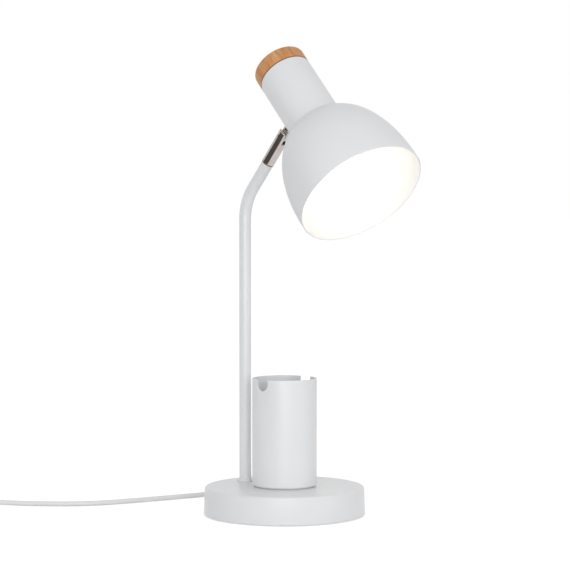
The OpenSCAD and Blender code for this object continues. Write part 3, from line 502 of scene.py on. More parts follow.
def spun(angle, axis):
    return Matrix.Rotation(radians(angle), 4, axis)


at_arm_end = shift(0, foot_y, bend_z) @ spun(arm_lean, "X") @ shift(0, 0, upper_l)
at_swivel = at_arm_end @ spun(head_turn, "Z")
at_pivot = at_swivel @ shift(0, 0, ring_t + barrel_l - pivot_back)
at_tongue = at_pivot @ spun(-head_lean, "X")
at_shade = at_tongue @ shift(0, -(neck_r + neck_reach), 0)
print("pivot at, mm:", [round(v / mm, 1) for v in at_pivot.translation])

# %% [markdown]
# The cap is turned from beech. Its fibres run along the cap's axis, and show as fine lines a millimetre or
# two apart, with short darker flecks. The Mapping node lays the pattern along the cap, which leans with the
# shade. The lower edge is darker: a band of painted shade stands in for the shadow in the joint, over an
# edge that the turner's tool scorched a little.

# %% Beech
beech, beech_tree = new_material("beech, turned, clear matt lacquer")
beech_place = add(beech_tree, "ShaderNodeTexCoord").outputs["Object"]
cap_frame = at_shade @ shift(0, 0, neck_top)
along_cap = add(
    beech_tree,
    "ShaderNodeMapping",
    {"vector_type": "TEXTURE"},
    Vector=beech_place,
    Location=cap_frame.translation,
    Rotation=cap_frame.to_euler(),
).outputs[0]


def wood_pattern(stretch, scale, detail, start=(0, 0, 0), **more):
    """Noise drawn out along the cap: with a stretch of 0.1 its marks are ten times as long as wide."""
    drawn = add(beech_tree, "ShaderNodeMapping", Vector=along_cap, Scale=stretch, Location=start)
    place = drawn.outputs[0]
    noise = add(beech_tree, "ShaderNodeTexNoise", Vector=place, Scale=scale, Detail=detail, **more)
    return noise.outputs["Fac"]


fibres = wood_pattern((1, 1, 0.09), 620.0, 5.0, Roughness=0.62)
growth = wood_pattern((1, 0.55, 0.12), 170.0, 3.0, (0.012, 0.03, 0), Distortion=0.4)
flecks = wood_pattern((1, 1, 0.28), 1300.0, 1.0)
cap_height = add(beech_tree, "ShaderNodeSeparateXYZ", Vector=along_cap).outputs[2]
wood_tone = add(beech_tree, "ShaderNodeValToRGB", Fac=growth)
wood_ramp = wood_tone.color_ramp.elements
wood_ramp[0].position, wood_ramp[0].color = 0.3, linear("#CB834E")
wood_ramp[1].position, wood_ramp[1].color = 0.66, linear("#DBAA73")
wood_ramp.new(0.5).color = linear("#D1965E")
print("laid the beech along the cap, from, mm:", [round(v / mm, 1) for v in cap_frame.translation])

# %% [markdown]
# Three darker tones are then mixed over the year rings, one after the other: the fibres, the flecks and a
# band of painted shade at the joint, over the scorched edge, which fades out between 0.6 and 1.4 mm above
# it.

# %% Darker tones over the beech
wood_colour = wood_tone.outputs[0]
for mask, start, end, at_start, at_end, fade, dark in (
    (fibres, 0.38, 0.62, 0.0, 0.55, "LINEAR", "#B46A38"),
    (flecks, 0.62, 0.72, 0.0, 0.5, "LINEAR", "#82502A"),
    # painted shade: the dark band just above the joint stands in for the shadow in the gap under the cap
    (cap_height, 0.6 * mm, 1.4 * mm, 0.8, 0.0, "SMOOTHSTEP", "#4A3122"),
):
    how = {"interpolation_type": fade}
    share = add(
        beech_tree, "ShaderNodeMapRange", how, i0=mask, i1=start, i2=end, i3=at_start, i4=at_end
    )
    mixed = add(
        beech_tree, "ShaderNodeMix", RGBA, i0=share.outputs[0], i6=wood_colour, i7=linear(dark)
    )
    wood_colour = mixed.outputs[2]
wood_bump = add(beech_tree, "ShaderNodeBump", Strength=0.25, Distance=0.1 * mm, Height=fibres)
wood_gloss = add(beech_tree, "ShaderNodeMapRange", i0=fibres, i3=0.42, i4=0.6)
wood = add(
    beech_tree,
    "ShaderNodeBsdfPrincipled",
    Base_Color=wood_colour,
    Roughness=wood_gloss.outputs[0],
    IOR=1.5,
    Normal=wood_bump.outputs[0],
)
add(beech_tree, "ShaderNodeOutputMaterial", Surface=wood.outputs[0])
print("made", beech.name)

# %% [markdown]
# ## The cord
#
# Cords come first, because their room is the hardest to find. This one is 1.75 m of round PVC cord, 5 mm
# thick. It leaves the base at the back through a tapered boot, sinks to the table, and crosses it in one
# loose curve to the left. Just outside the picture it passes an inline switch, and the rest is wound in a
# neat coil with the plug beside it. The loose part is a row of points, measured from the boot's end.

# %% The cord's route, in mm
cord_r = 2.5
gland_turn, gland_z, gland_face = 18, 9, 79.8588
gland_flange, boot_l = 1.6, 28
gland_tip = gland_face + gland_flange + boot_l
gland_way = Vector((sin(radians(gland_turn)), cos(radians(gland_turn)), 0))
gland_end = Vector((0, 0, gland_z)) + gland_tip * gland_way
table_z = cord_r + 0.1
loose = [
    (4.2, 14.9, 7.976), (3.7, 20.9, 6.824), (0.7, 27.9, 5.032), (-5.3, 34.4, 3.368), (-13.8, 38.9, table_z),
    (-23.8, 41.9, table_z), (-36.8, 44.9, table_z), (-50.8, 48.4, table_z), (-64.8, 52.4, table_z),
    (-81.8, 57.4, table_z), (-99.8, 62.9, table_z), (-115.8, 68.9, table_z), (-129.8, 76.4, table_z),
    (-142.8, 85.9, table_z), (-153.8, 96.9, table_z), (-163.8, 108.9, table_z), (-173.8, 121.4, table_z),
    (-183.8, 134.4, table_z + 0.3), (-193.8, 147.4, table_z + 0.9),
]
switch_turn, switch_end, switch_cord_z = 127.7, 30, 4.2
switch_mid = Vector((gland_end.x - 225.82, gland_end.y + 188.9, switch_cord_z))
switch_way = Vector((cos(radians(switch_turn)), sin(radians(switch_turn)), 0))
switch_in = switch_mid - switch_end * switch_way
switch_out = switch_mid + switch_end * switch_way
print("the cord leaves the boot at, mm:", [round(v, 1) for v in gland_end])

# %% [markdown]
# People wind a spare cord round their hand. This coil goes inwards on the table for three turns and a half,
# climbs on itself in half a turn, and goes outwards again on top, so that no two turns share a place. In
# the climb it dips inwards a little, to pass beside the turn below.

# %% The coil's route, in mm
coil_pitch, coil_turns, coil_out_r = 5.7, 3.5, 39
coil_low, coil_dip, coil_start, coil_lead = 3.5, 1.2, 37.7, 31
coil_in_r = coil_out_r - coil_pitch * coil_turns
start_way = Vector((cos(radians(coil_start)), sin(radians(coil_start)), 0))
coil_mid = switch_out + coil_lead * switch_way - coil_out_r * start_way


def coil_point(t):
    """A point of the coil after t turns: in on the table, up in half a turn, and out again on top."""
    if t < coil_turns:
        radius = coil_out_r - coil_pitch * t
    elif t < coil_turns + 0.5:
        radius = coil_in_r - coil_dip * sin(2 * pi * (t - coil_turns))
    else:
        radius = coil_in_r + coil_pitch * (t - coil_turns - 0.5)
    height = coil_low + coil_pitch * min(1, max(0, 2 * (t - coil_turns)))
    a = radians(coil_start) + 2 * pi * t
    return Vector((coil_mid.x + radius * cos(a), coil_mid.y + radius * sin(a), height))


coil_rings = 24
coil = [coil_point(i / coil_rings) for i in range(int((2 * coil_turns + 0.5) * coil_rings) + 1)]
coil_in_way, coil_out_way = (coil[1] - coil[0]).normalized(), (coil[-1] - coil[-2]).normalized()
plug_way, plug_z, plug_gap = -switch_way, 7.5, 24
plug_at = Vector((coil[-1].x, coil[-1].y, plug_z)) + plug_gap * plug_way
route = [gland_end - 8 * gland_way, gland_end, gland_end + 7 * gland_way]
route += [Vector((gland_end.x + x, gland_end.y + y, z)) for x, y, z in loose]
route += [switch_in - 8 * switch_way, switch_in, switch_mid - 10 * switch_way, switch_mid + 10 * switch_way]
route += [switch_out, switch_out + 5 * switch_way, coil[0] - 6 * coil_in_way]
route += coil
route += [coil[-1] + 5 * coil_out_way, plug_at - 6 * plug_way, plug_at, plug_at + 4 * plug_way]
print("points in the cord's route:", len(route))

# %% [markdown]
# A curve with a round bevel is the natural tool for a cord: its own line is the cord's middle line, and its
# bevel is the sheath. The handles are set to automatic, so the curve runs smoothly through all the points.

# %% The cord as one curve
line = bpy.data.curves.new("mains_cord", "CURVE")
line.dimensions = "3D"
line.bevel_depth = cord_r * mm
line.bevel_resolution = 5
line.use_fill_caps = True
line.resolution_u = 4
spline = line.splines.new("BEZIER")
spline.bezier_points.add(len(route) - 1)
for knot, p in zip(spline.bezier_points, route):
    knot.co = p * mm
    knot.handle_left_type = knot.handle_right_type = "AUTO"
mains_cord = bpy.data.objects.new("mains_cord", line)
scene.collection.objects.link(mains_cord)
dress(mains_cord, white_pvc, "stand", ("cord_run", "cord_lead", "cord_coil", "cord_end"))

# %% [markdown]
# The boot is moulded in soft PVC with the cord. It tapers towards the cord and has grooves all round, so
# that it bends in a smooth curve. It is turned like the metal pieces, in one outline, and then laid along
# the cord's way.

# %% Gland and boot
at_gland = shift(0, 0, gland_z) @ spun(-gland_turn, "Z") @ spun(-90, "X")
cord_bore, gland_back, gland_r = 2.45, 76.2, 5.6
boot_low, boot_high, boot_r, boot_taper = gland_face + gland_flange, gland_tip, 4.8, 1.6
groove_count, groove_pitch, groove_depth = 6, 4.0, 0.75
boot = [(cord_bore, gland_back), (gland_r, gland_back), (gland_r, 77.9), (4.35, 78.0)]
boot += [(4.35, gland_face), (5.9, gland_face)]
boot += arc(gland_r, gland_face + 1.0, 0.6, 0, 90, 4) + [(boot_r, boot_low)]
for i in range(groove_count):
    start = boot_low + 3.2 + i * groove_pitch
    for along, depth in ((0, 0), (0.5, groove_depth), (1.5, groove_depth), (2.0, 0)):
        at = (start + along - boot_low) / (boot_high - boot_low)
        boot.append((boot_r - boot_taper * at - depth * (1 - 0.45 * at), start + along))
boot += [(3.3, boot_high - 0.6), (3.0, boot_high), (cord_bore, boot_high), (cord_bore, gland_back)]
cord_boot = turned("cord_boot", boot, 48, at_gland)
dress(cord_boot, white_pvc, "stand", ("cord_gland",))

# %% [markdown]
# The inline switch is two half shells of moulded ABS, screwed together from below. A block is a fair start:
# its upright corners are rounded, then its rim, and a pocket is cut for the rocker. A rod cuts the cord's
# way in at each end.

# %% Switch shells
at_switch = shift(switch_mid.x, switch_mid.y, 0) @ spun(switch_turn, "Z")
switch_side, switch_corner, switch_edge = 13, 8, 0.3
pocket_l, pocket_w, entry_r = 10.6, 6.5, 2.7


def upright(middle, way):
    return abs(way.z) > 0.99


def switch_half(name, low, high, rim_z, rim, pocket_low, node):
    """A half shell: rounded corners, a softened rim at one height, a pocket and the cord's ways in."""
    half = block(name, (-switch_end, -switch_side, low), (switch_end, switch_side, high))
    rounded_corners(half, upright, switch_corner, 8)
    rounded_corners(half, lambda m, w: abs(m.z - rim_z) < 0.01 and abs(w.z) < 0.01, rim, 5)
    combine(half, block("pocket", (-pocket_l, -pocket_w, pocket_low), (pocket_l, pocket_w, 20)))
    for end in (-1, 1):
        combine(half, rod("entry", entry_r, 8, (end * switch_end, 0, switch_cord_z), "X", 32))
    bevelled(half, switch_edge, 2, 50)
    settle(half, at_switch)
    soften(half, 32)
    return dress(half, white_abs, "stand", (node,))


switch_bottom = switch_half("switch_bottom", 0, 7.85, 0, 1.0, 3.4, "switch_base")
switch_top = switch_half("switch_top", 8, 16, 16, 2.6, 5, "switch_cover")

# %% [markdown]
# The rocker is a key with a hollow for the fingertip, which is cut with a wide cylinder. A pin through it
# makes its two stub axles. It rests tipped by 7 degrees, which is half of its travel.

# %% Rocker
rocker_z, rocker_tip, finger_r, finger_z, axle_r = 9.5, 7, 30, 37.2, 1.5
switch_key = block("switch_key", (-9.4, -6, -1.4), (9.4, 6, 7.6))
combine(switch_key, rod("finger", finger_r, 20, (0, 0, finger_z), "Y", 160))
bevelled(switch_key, 0.6, 4, 25)
combine(switch_key, rod("pins", axle_r, 20.6, (0, 0, 0), "Y", 32), "UNION")
settle(switch_key, at_switch @ shift(0, 0, rocker_z) @ spun(rocker_tip, "Y"))
soften(switch_key, 32)
dress(switch_key, glossy_abs, "rocker", ("switch_rocker",))

# %% [markdown]
# The plug is the flat two-pin kind, moulded on the cord. Its body narrows towards the cord and is waisted
# at the sides for the fingers. The back of a block is scaled in edit mode, and two cylinders cut the finger
# grips.

# %% Plug body
at_plug = shift(plug_at.x, plug_at.y, plug_z) @ spun(switch_turn + 180, "Z")
plug_back, plug_waist, plug_face, plug_side = 10, 24, 46, 17
grip_r, grip_x, grip_y = 10, 34, 25.2
plug_shell = block("plug_shell", (plug_back, -plug_side, -plug_z), (plug_face, plug_side, plug_z))
only(plug_shell)
bpy.ops.object.mode_set(mode="EDIT")
bpy.ops.mesh.select_mode(type="VERT")
bpy.ops.mesh.select_all(action="SELECT")
bpy.ops.mesh.bisect(plane_co=(plug_waist * mm, 0, 0), plane_no=(1, 0, 0))
bpy.ops.mesh.select_all(action="DESELECT")
bpy.ops.object.mode_set(mode="OBJECT")
for v in plug_shell.data.vertices:
    v.select = v.co.x < (plug_back + 1) * mm
bpy.ops.object.mode_set(mode="EDIT")
bpy.ops.transform.resize(value=(1, 0.36, 0.86), center_override=(plug_back * mm, 0, 0))
bpy.ops.object.mode_set(mode="OBJECT")
for side in (-1, 1):
    combine(plug_shell, rod("grip", grip_r, 30, (grip_x, side * grip_y, 0), "Z", 64))
bevelled(plug_shell, 2.2, 4, 28)
settle(plug_shell, at_plug)
soften(plug_shell, 32)
dress(plug_shell, white_abs, "stand", ("plug_body",))

# %% [markdown]
# Between cord and plug there is a short neck of soft PVC, with three grooves that let it bend. It is turned
# upright and then laid along the plug.

# %% Plug neck
neck = [(cord_bore, -0.5), (3.4, -0.5), (3.5, 0)]
for i in range(3):
    wider, on = 0.35 * i, 2.6 * i
    neck += [(3.6 + wider, 1.2 + on), (3.1 + wider, 1.5 + on)]
    neck += [(3.1 + wider, 2.4 + on), (3.75 + wider, 2.7 + on)]
neck += [(4.6, 10), (4.6, 12), (cord_bore, 12), (cord_bore, -0.5)]
plug_neck = turned("plug_neck", neck, 48)
settle(plug_neck, spun(90, "Y"))
settle(plug_neck, at_plug)
dress(plug_neck, white_pvc, "stand")

# %% [markdown]
# The pins are round rods of nickel-plated brass with a dome at the tip. The half near the body is covered
# by a sleeve, so that a finger can't touch live metal. Pin and sleeve are turned together, once for each
# side.

# %% Plug pins
pin_r, pin_out, pin_apart, sleeve_r, sleeve_out = 2.0, 65, 9.3, 2.08, 55.9
pin_outline = [(0, 45), (pin_r, 45), (pin_r, pin_out - 1.2)] + arc(0.8, pin_out - 1.2, 1.2, 0, 90, 5)
pin_outline += [(0, pin_out)]
sleeve_outline = [(1.5, 45.5), (sleeve_r, 45.5), (sleeve_r, 55.6), (1.95, sleeve_out), (1.5, sleeve_out)]
sleeve_outline += [(1.5, 45.5)]
pin_parts = []
for side, word in ((-1, "left"), (1, "right")):
    pin = turned("pin_" + word, pin_outline, 40)
    sleeve = turned("pin_sleeve_" + word, sleeve_outline, 40)
    for part in (pin, sleeve):
        settle(part, at_plug @ shift(0, side * pin_apart, 0) @ spun(90, "Y"))
        soften(part)
    dress(pin, nickel, "stand", ("plug_pins",) if side < 0 else ())
    dress(sleeve, white_abs, "stand")
    pin_parts += [pin, sleeve]

# %% [markdown]
# A strap of soft plastic holds the coil. Its outline is a rectangle round the coil's turns with its corners
# rounded. The block's two open sides are deleted, which leaves the band, and Solidify gives it thickness.

# %% Tie round the coil
tie_in, tie_out, tie_low, tie_high, tie_w, tie_t, tie_turn = 14.75, 42.1, 0.8, 12.1, 8, 0.7, 310
at_tie = shift(coil_mid.x, coil_mid.y, 0) @ spun(tie_turn, "Z")
tie_from = (tie_in - tie_t / 2, -tie_w / 2, tie_low - tie_t / 2)
tie_to = (tie_out + tie_t / 2, tie_w / 2, tie_high + tie_t / 2)
coil_tie = block("coil_tie", tie_from, tie_to)
rounded_corners(coil_tie, lambda m, w: abs(w.y) > 0.99, 2.4, 5)
only(coil_tie)
bpy.ops.object.mode_set(mode="EDIT")
bpy.ops.mesh.select_mode(type="FACE")
bpy.ops.mesh.select_all(action="DESELECT")
bpy.ops.object.mode_set(mode="OBJECT")
for face in coil_tie.data.polygons:
    face.select = abs(face.normal.y) > 0.99
bpy.ops.object.mode_set(mode="EDIT")
bpy.ops.mesh.delete(type="FACE")
bpy.ops.object.mode_set(mode="OBJECT")
wall = coil_tie.modifiers.new("wall", "SOLIDIFY")
wall.thickness = tie_t * mm
wall.offset = 0
bpy.ops.object.modifier_apply(modifier=wall.name)
bevelled(coil_tie, 0.2, 2, 60)
settle(coil_tie, at_tie)
soften(coil_tie, 40)
dress(coil_tie, white_abs, "stand", ("cord_tie",))

# %% [markdown]
# ## The base
#
# The base is a deep-drawn steel drum over a cast weight. Its side leans in a little, so that it comes out
# of the press, and its top edge is rounded. The outline goes over the top and back along the inside, so the
# sheet has its real thickness at the open bottom. Two holes are then cut, for the arm's nipple and the
# cord's gland.

# %% Base drum
base_r, base_h, sheet_t = 80, 28, 1.2
base_edge, base_flat, foot_edge, bolt_r = 2.5, 76.7, 0.6, 3.2
edge_z, nipple_hole_r, gland_hole_r = base_h - base_edge, 4.95, 4.4
drum = [(bolt_r, base_h), (40, base_h)] + arc(base_flat, edge_z, base_edge, 90, 0, 8)
drum += [(base_r - 0.02, 1.3)] + arc(base_r - foot_edge, 1.4, foot_edge, 0, -90, 4)[1:]
drum += [(base_r - 1.15, 0.8), (base_flat + base_edge - sheet_t, edge_z)]
drum += arc(base_flat, edge_z, base_edge - sheet_t, 0, 90, 6)[1:]
drum += [(40, base_h - sheet_t), (bolt_r, base_h - sheet_t), (bolt_r, base_h)]
base_drum = turned("base_drum", drum, 256)
combine(base_drum, rod("nipple_hole", nipple_hole_r, 20, (0, foot_y, base_h), "Z", 48))
combine(base_drum, rod("gland_hole", gland_hole_r, 20, (0, 0, 76), "Z", 48, at_gland))
soften(base_drum)
dress(base_drum, satin_coat, "stand", ("base_cover",))

# %% [markdown]
# ## The pen cup
#
# A drawn steel cup with a rounded bottom edge and a rolled rim, bolted to the base through a grey ring. Two
# notches with round bottoms face each other across the rim, to rest a pen or to lead a cable. The cutter
# for a notch is a cylinder with a block on top, long enough to go through both walls at once.

# %% Pen cup
cup_r, cup_low, cup_high, cup_edge, rim_r = 32, 29, 135.5, 2, 0.6
notch_r, notch_deep = 6.7, 11.2
cup_foot_r, cup_foot_z, cup_in_r = cup_r - cup_edge, cup_low + cup_edge, cup_r - sheet_t
cup_outline = [(bolt_r, cup_low)] + arc(cup_foot_r, cup_foot_z, cup_edge, -90, 0, 6)
cup_outline += [(cup_r, 60), (cup_r, 100), (cup_r, cup_high - rim_r)]
cup_outline += arc(cup_r - rim_r, cup_high - rim_r, rim_r, 0, 180, 8)[1:] + [(cup_in_r, 100), (cup_in_r, 60)]
cup_outline += arc(cup_foot_r, cup_foot_z, cup_edge - sheet_t, 0, -90, 4)
cup_outline += [(bolt_r, cup_low + sheet_t), (bolt_r, cup_low)]
pen_cup = turned("pen_cup_shell", cup_outline, 192)
notch_low = cup_high - notch_deep + notch_r
combine(pen_cup, rod("notch_round", notch_r, 80, (0, 0, notch_low), "X", 64))
combine(pen_cup, block("notch_open", (-40, -notch_r, notch_low), (40, notch_r, 150)))
bevelled(pen_cup, 0.28, 3, 50)
soften(pen_cup, 32)
dress(pen_cup, white_coat, "stand", ("pen_cup",))

# %% [markdown]
# A thin ring of grey silicone keeps the painted cup off the painted base. Only its edge shows, as a fine
# line. The knuckle has a ring of the same form in brass, so the outline of a flat ring is a helper.

# %% Ring under the cup
def flat_ring(inner_r, outer_r, low, high, broken):
    """The outline of a flat ring whose outer edges are broken by so much. Sizes in mm."""
    outline = [(inner_r, low), (outer_r - broken, low), (outer_r, low + broken)]
    return outline + [(outer_r, high - broken), (outer_r - broken, high), (inner_r, high), (inner_r, low)]


seal_r = 30.4
cup_seal = turned("cup_seal", flat_ring(bolt_r, seal_r, base_h, cup_low, 0.15), 128)
dress(cup_seal, grey_silicone, "stand", ("cup_ring",))

# %% [markdown]
# ## The arm
#
# The arm is one steel tube, bent once near the top. A circle at its foot is extruded up, spun about the
# middle of the bend, and extruded again along the leaning run. Solidify then gives the tube its wall.

# %% Arm tube
arm_r, arm_t, tube_z = 6, 1.2, 30
bend_set = bend_r * tan(radians(arm_lean) / 2)
bend_start = bend_z - bend_set
bpy.ops.object.select_all(action="DESELECT")
bpy.ops.mesh.primitive_circle_add(vertices=64, radius=arm_r * mm, location=(0, foot_y * mm, tube_z * mm))
bent_arm = bpy.context.object
bent_arm.name = "bent_arm"
settle(bent_arm)
bpy.ops.object.mode_set(mode="EDIT")
bpy.ops.mesh.select_mode(type="VERT")
bpy.ops.mesh.select_all(action="SELECT")
bpy.ops.mesh.extrude_region_move(TRANSFORM_OT_translate={"value": (0, 0, (bend_start - tube_z) * mm)})
bend_centre = (0, (foot_y - bend_r) * mm, bend_start * mm)
bpy.ops.mesh.spin(steps=24, angle=-radians(arm_lean), center=bend_centre, axis=(1, 0, 0))
run = (upper_l - bend_set) * mm
up_way = (0, -sin(radians(arm_lean)) * run, cos(radians(arm_lean)) * run)
bpy.ops.mesh.extrude_region_move(TRANSFORM_OT_translate={"value": up_way})
bpy.ops.mesh.select_all(action="SELECT")
bpy.ops.mesh.remove_doubles(threshold=1e-6)
bpy.ops.mesh.normals_make_consistent(inside=False)
bpy.ops.object.mode_set(mode="OBJECT")
tube_wall = bent_arm.modifiers.new("wall", "SOLIDIFY")
tube_wall.thickness = arm_t * mm
tube_wall.offset = -1
bpy.ops.object.modifier_apply(modifier=tube_wall.name)
soften(bent_arm, 40)
dress(bent_arm, satin_coat, "stand", ("arm_tube",))

# %% [markdown]
# A low collar lies between the tube and the base. It is a plain turned ring with a rounded top edge, painted
# like the arm.

# %% Collar at the arm's foot
collar_bore, collar_r, collar_edge = 4.9, 8.2, 0.7
collar_outline = [(collar_bore, base_h), (collar_r - 0.3, base_h), (collar_r, base_h + 0.3)]
collar_outline += arc(collar_r - collar_edge, tube_z - collar_edge, collar_edge, 0, 90, 5)
collar_outline += [(collar_bore, tube_z), (collar_bore, base_h)]
foot_collar = turned("foot_collar", collar_outline, 96, shift(0, foot_y, 0))
dress(foot_collar, satin_coat, "stand", ("arm_collar",))

# %% [markdown]
# ## The knuckle
#
# A chrome barrel turns on a nipple in the arm's end, over a thin brass ring. The slot in its top holds a
# flat tongue on a screw. The barrel is turned, the slot and the screw's seat are cut, and its edges are
# lightly rounded, because polished chrome always shows a bright line along an edge.

# %% Barrel and ring
barrel_r, barrel_edge, slot_w, slot_l = 6.5, 0.9, 5.52, 11.5
bore_r, bore_top, socket_r, socket_top = 3.2, 28.7, 4.8, 15.2
screw_r, seat_r, seat_x = 1.52, 3.0, 4.7
top = ring_t + barrel_l
barrel = [(0, bore_top), (bore_r, bore_top), (bore_r, socket_top), (socket_r, socket_top)]
barrel += [(socket_r, ring_t), (barrel_r - 0.35, ring_t), (barrel_r, ring_t + 0.35)]
barrel += [(barrel_r, 12), (barrel_r, 24)]
barrel += arc(barrel_r - barrel_edge, top - barrel_edge, barrel_edge, 0, 90, 6) + [(3.0, top), (0, top)]
chrome_barrel = turned("chrome_barrel", barrel, 128)
combine(chrome_barrel, block("slot", (-slot_w / 2, -12, top - slot_l), (slot_w / 2, 12, top + 8)))
pivot_z = top - pivot_back
combine(chrome_barrel, rod("screw_hole", screw_r, 20, (0, 0, pivot_z), "X", 40))
combine(chrome_barrel, rod("screw_seat", seat_r, 6, (seat_x + 3, 0, pivot_z), "X", 48))
bevelled(chrome_barrel, 0.22, 3, 40)
settle(chrome_barrel, at_swivel)
soften(chrome_barrel, 32)
dress(chrome_barrel, chrome, "knuckle", ("knuckle_barrel",))
brass_ring = turned("brass_ring", flat_ring(4.85, 6.4, 0, 1.17, 0.3), 96, at_arm_end)
dress(brass_ring, brass, "stand", ("swivel_ring",))

# %% [markdown]
# The tongue is a round eye with a flat blade behind it, and the blade ends in a round collar that stands
# against the neck. Eye and blade are joined, bored and bevelled as one piece, and the collar is turned.
# Both lie in the tongue's own frame, so they tilt about the screw.

# %% Tongue
eye_r, blade_t, blade_h, blade_l = 5.2, 4.6, 4, 10.3
collar_from, collar_to, stud_r, stud_to = 9.8, 15.9, 4.0, 22.0
tongue = rod("tongue", eye_r, blade_t, (0, 0, 0), "X", 64)
blade = block("blade", (-blade_t / 2, -blade_l, -blade_h), (blade_t / 2, 0, blade_h))
combine(tongue, blade, "UNION")
combine(tongue, rod("bore", 1.55, 20, (0, 0, 0), "X", 40))
bevelled(tongue, 0.3, 3, 40)
stud = [(0, collar_from), (eye_r - 0.5, collar_from)]
stud += arc(eye_r - 0.5, collar_from + 0.5, 0.5, -90, 0, 4)[1:]
stud += [(eye_r, collar_to), (stud_r, collar_to), (stud_r, stud_to), (0, stud_to)]
tongue_collar = turned("tongue_collar", stud, 72)
settle(tongue_collar, spun(90, "X"))
settle(tongue, at_tongue)
settle(tongue_collar, at_tongue)
soften(tongue, 32)
soften(tongue_collar)
dress(tongue, chrome, "head", ("knuckle_tongue",))
dress(tongue_collar, chrome, "head")

# %% [markdown]
# ## The shade
#
# The bell is spun from sheet steel over a form. Its side is steep at the mouth and curls over into a
# shoulder under the neck. The outer curve is one cubic curve with the CAD model's own four points; the
# inner one lies a sheet's thickness inside it. The rim is a small half round, and the seam at the neck is
# filled and sanded to a soft hollow, which is an arc that touches the bell's slope and the neck's side.

# %% Bell
shade_t, joint_z, bell_h, mouth_r = 1.0, -28.1, 91.2, 63.7
neck_hole_r, fillet_r, steps = 19.8, 3.5, 48
mouth_z = joint_z - bell_h
bell_points = [
    Vector((mouth_r, mouth_z)),
    Vector((mouth_r + 1.1, mouth_z + 0.43 * bell_h)),
    Vector((neck_r + 26.7, joint_z - 11.3)),
    Vector((neck_r, joint_z)),
]


def bell_curve(t):
    """A point on the bell's outer curve and the same place a sheet's thickness inside."""
    a, b, c, d = bell_points
    s = 1 - t
    point = s**3 * a + 3 * s * s * t * b + 3 * s * t * t * c + t**3 * d
    way = (s * s * (b - a) + 2 * s * t * (c - b) + t * t * (d - c)).normalized()
    return point, point - shade_t * Vector((way.y, -way.x))


slope = (bell_points[2] - bell_points[3]).normalized()
fillet_mid = Vector((neck_r + fillet_r, joint_z + fillet_r * (1 + slope.y) / slope.x))
fillet_from = fillet_mid + fillet_r * Vector((slope.y, -slope.x))
fillet_start = 180 + math.degrees(math.atan2(slope.x, -slope.y))
curve_points = [bell_curve(i / steps) for i in range(steps + 1)]
bell = [tuple(p[0]) for p in curve_points if p[0].x > fillet_from.x + 0.6]
bell += arc(fillet_mid.x, fillet_mid.y, fillet_r, fillet_start, 180, 8)
bell += [(neck_r - 0.3, fillet_mid.y + 0.2), (neck_r - 0.3, joint_z)]
bell += [(neck_hole_r, joint_z), (neck_hole_r, joint_z - shade_t)]
bell += [tuple(p[1]) for p in reversed(curve_points)]
bell += arc(mouth_r - shade_t / 2, mouth_z, shade_t / 2, 180, 360, 6)[1:]
shade_shell = turned("shade_shell", bell, 256, at_shade)
dress(shade_shell, white_coat, "head", ("shade_bell",))

# %% [markdown]
# The neck is a short tube of the same sheet, closed below by a floor with a hole, on which the lampholder
# is clamped. It stands on the bell and is turned in one outline, outside up and inside down.

# %% Neck
neck_inner, neck_edge, floor_z = neck_r - shade_t, 0.4, joint_z + shade_t
neck_outline = [(neck_hole_r, joint_z), (neck_r - 0.25, joint_z), (neck_r, joint_z + 0.25)]
neck_outline += [(neck_r, -10), (neck_r, 20), (neck_r, neck_top - neck_edge)]
neck_outline += arc(neck_r - neck_edge, neck_top - neck_edge, neck_edge, 0, 90, 4)[1:]
neck_outline += [(neck_inner, neck_top), (neck_inner, 20), (neck_inner, floor_z)]
neck_outline += [(neck_hole_r, floor_z), (neck_hole_r, joint_z)]
shade_neck = turned("shade_neck", neck_outline, 192, at_shade)
dress(shade_neck, white_coat, "head", ("neck_housing",))

# %% [markdown]
# ## The wooden cap
#
# The cap is a disc of beech with a spigot that fits inside the neck. Its top edge is rounded, and a hair's
# breadth of shadow shows between it and the painted steel.

# %% Cap
cap_z, cap_h, cap_edge = neck_top + 0.3, 15.5, 2.2
spigot_r, spigot_l = 25.6, 8
cap_outline = [(0, cap_z - spigot_l), (spigot_r - 0.4, cap_z - spigot_l), (spigot_r, cap_z - spigot_l + 0.4)]
cap_outline += [(spigot_r, cap_z), (neck_r - 0.5, cap_z), (neck_r, cap_z + 0.5), (neck_r, cap_z + 5)]
cap_outline += arc(neck_r - cap_edge, cap_z + cap_h - cap_edge, cap_edge, 0, 90, 10)
cap_outline += [(16, cap_z + cap_h), (0, cap_z + cap_h)]
beech_cap = turned("beech_cap", cap_outline, 192, at_shade)
dress(beech_cap, beech, "head", ("wooden_cap",))

# %% [markdown]
# ## The bulb and its holder
#
# The globe is a frosted ball on a plastic collar. It sits deep in the shade, so that only its lower half
# shows from the front. The ball's outline is an arc from its lowest point to where the collar takes over.

# %% Globe
bulb_r, bulb_z, bulb_collar_h = 22.5, joint_z - 18.9 - 0.3, 8.7
globe_seat = bulb_r * 0.89
seat_angle = 62.87  # degrees between the globe's axis and its seat: its sine is 0.89
globe_low = bulb_z - bulb_collar_h
globe_mid = globe_low - sqrt(bulb_r**2 - globe_seat**2)
globe_outline = arc(0, globe_mid, bulb_r, -90, 90 - seat_angle, 40)
globe_outline += [(globe_seat - 1, globe_low), (0, globe_low)]
bulb_globe = turned("opal_globe", globe_outline, 96, at_shade)
dress(bulb_globe, opal, "head", ("bulb_globe",))
lamp_collar_outline = [(0, globe_low), (globe_seat - 0.4, globe_low), (globe_seat, globe_low + 0.4)]
lamp_collar_outline += [(17.6, globe_low + 4.2), (14.4, bulb_z), (0, bulb_z)]
lamp_collar = turned("bulb_collar_shell", lamp_collar_outline, 96, at_shade)
dress(lamp_collar, glossy_abs, "head", ("bulb_collar",))

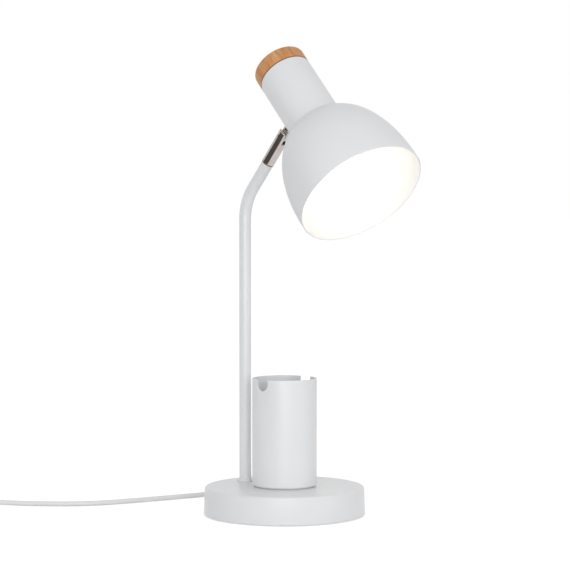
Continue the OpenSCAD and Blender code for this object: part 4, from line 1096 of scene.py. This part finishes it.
# %% [markdown]
# The ring that clamps the shade on the holder has ribs for the fingers. One rib is modelled, as a small
# block with its outer corners rounded. Copies of it, each with its own mesh, are turned to their places
# round the ring and joined to it.

# %% Ribbed clamp ring
clamp_bore, clamp_r, clamp_h, rib_count = 19.55, 23.8, 4.5, 36
ring_low = joint_z - shade_t - clamp_h
clamp_outline = [(clamp_bore, ring_low), (clamp_r - 0.4, ring_low), (clamp_r, ring_low + 0.4)]
clamp_outline += [(clamp_r, ring_low + clamp_h), (clamp_bore, ring_low + clamp_h), (clamp_bore, ring_low)]
clamp_ring = turned("clamp_ring", clamp_outline, 96)
first_rib = block("rib", (clamp_r - 0.2, -0.8, ring_low + 0.5), (clamp_r + 0.55, 0.8, ring_low + 4.3))
rounded_corners(first_rib, lambda m, w: abs(w.z) > 0.99 and m.x > clamp_r + 0.2, 0.5, 3)
ribs = [first_rib]
for i in range(1, rib_count):
    rib = first_rib.copy()
    rib.data = first_rib.data.copy()
    scene.collection.objects.link(rib)
    settle(rib, spun(360 * i / rib_count, "Z"))
    ribs.append(rib)
only(clamp_ring)
for rib in ribs:
    rib.select_set(True)
bpy.ops.object.join()
settle(clamp_ring, at_shade)
soften(clamp_ring, 35)
dress(clamp_ring, porcelain_pbt, "head", ("shade_ring",))

# %% [markdown]
# ## The pieces that keep their CAD shape
#
# Screws, nuts, washers, contacts and the weight are inside or small, and their CAD solids are already
# right. They only get their finish.

# %% Finishes for the kept pieces
kept = {
    cast_iron: "base_weight",
    zinc: "base_plate plate_screws clamp_screws cup_washer cup_screw cup_nut arm_washer arm_nut stud_nut "
    "cap_bracket cap_screw switch_screws",
    black_rubber: "foot_pad",
    white_abs: "cord_clamp pivot_washers stud_washer",
    porcelain_pbt: "lampholder_body",
    chrome: "pivot_screw",
    nickel: "bulb_screw_cap",
    brass: "arm_nipple swivel_nipple screw_shell centre_contact terminal_screws bulb_contact "
    "switch_contacts",
    white_pvc: "inner_lead head_lead",
}
for finish, names in kept.items():
    for name in names.split():
        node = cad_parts[name]
        node.data.materials.clear()
        node.data.materials.append(finish)
print("finished", sum(len(names.split()) for names in kept.values()), "CAD pieces")
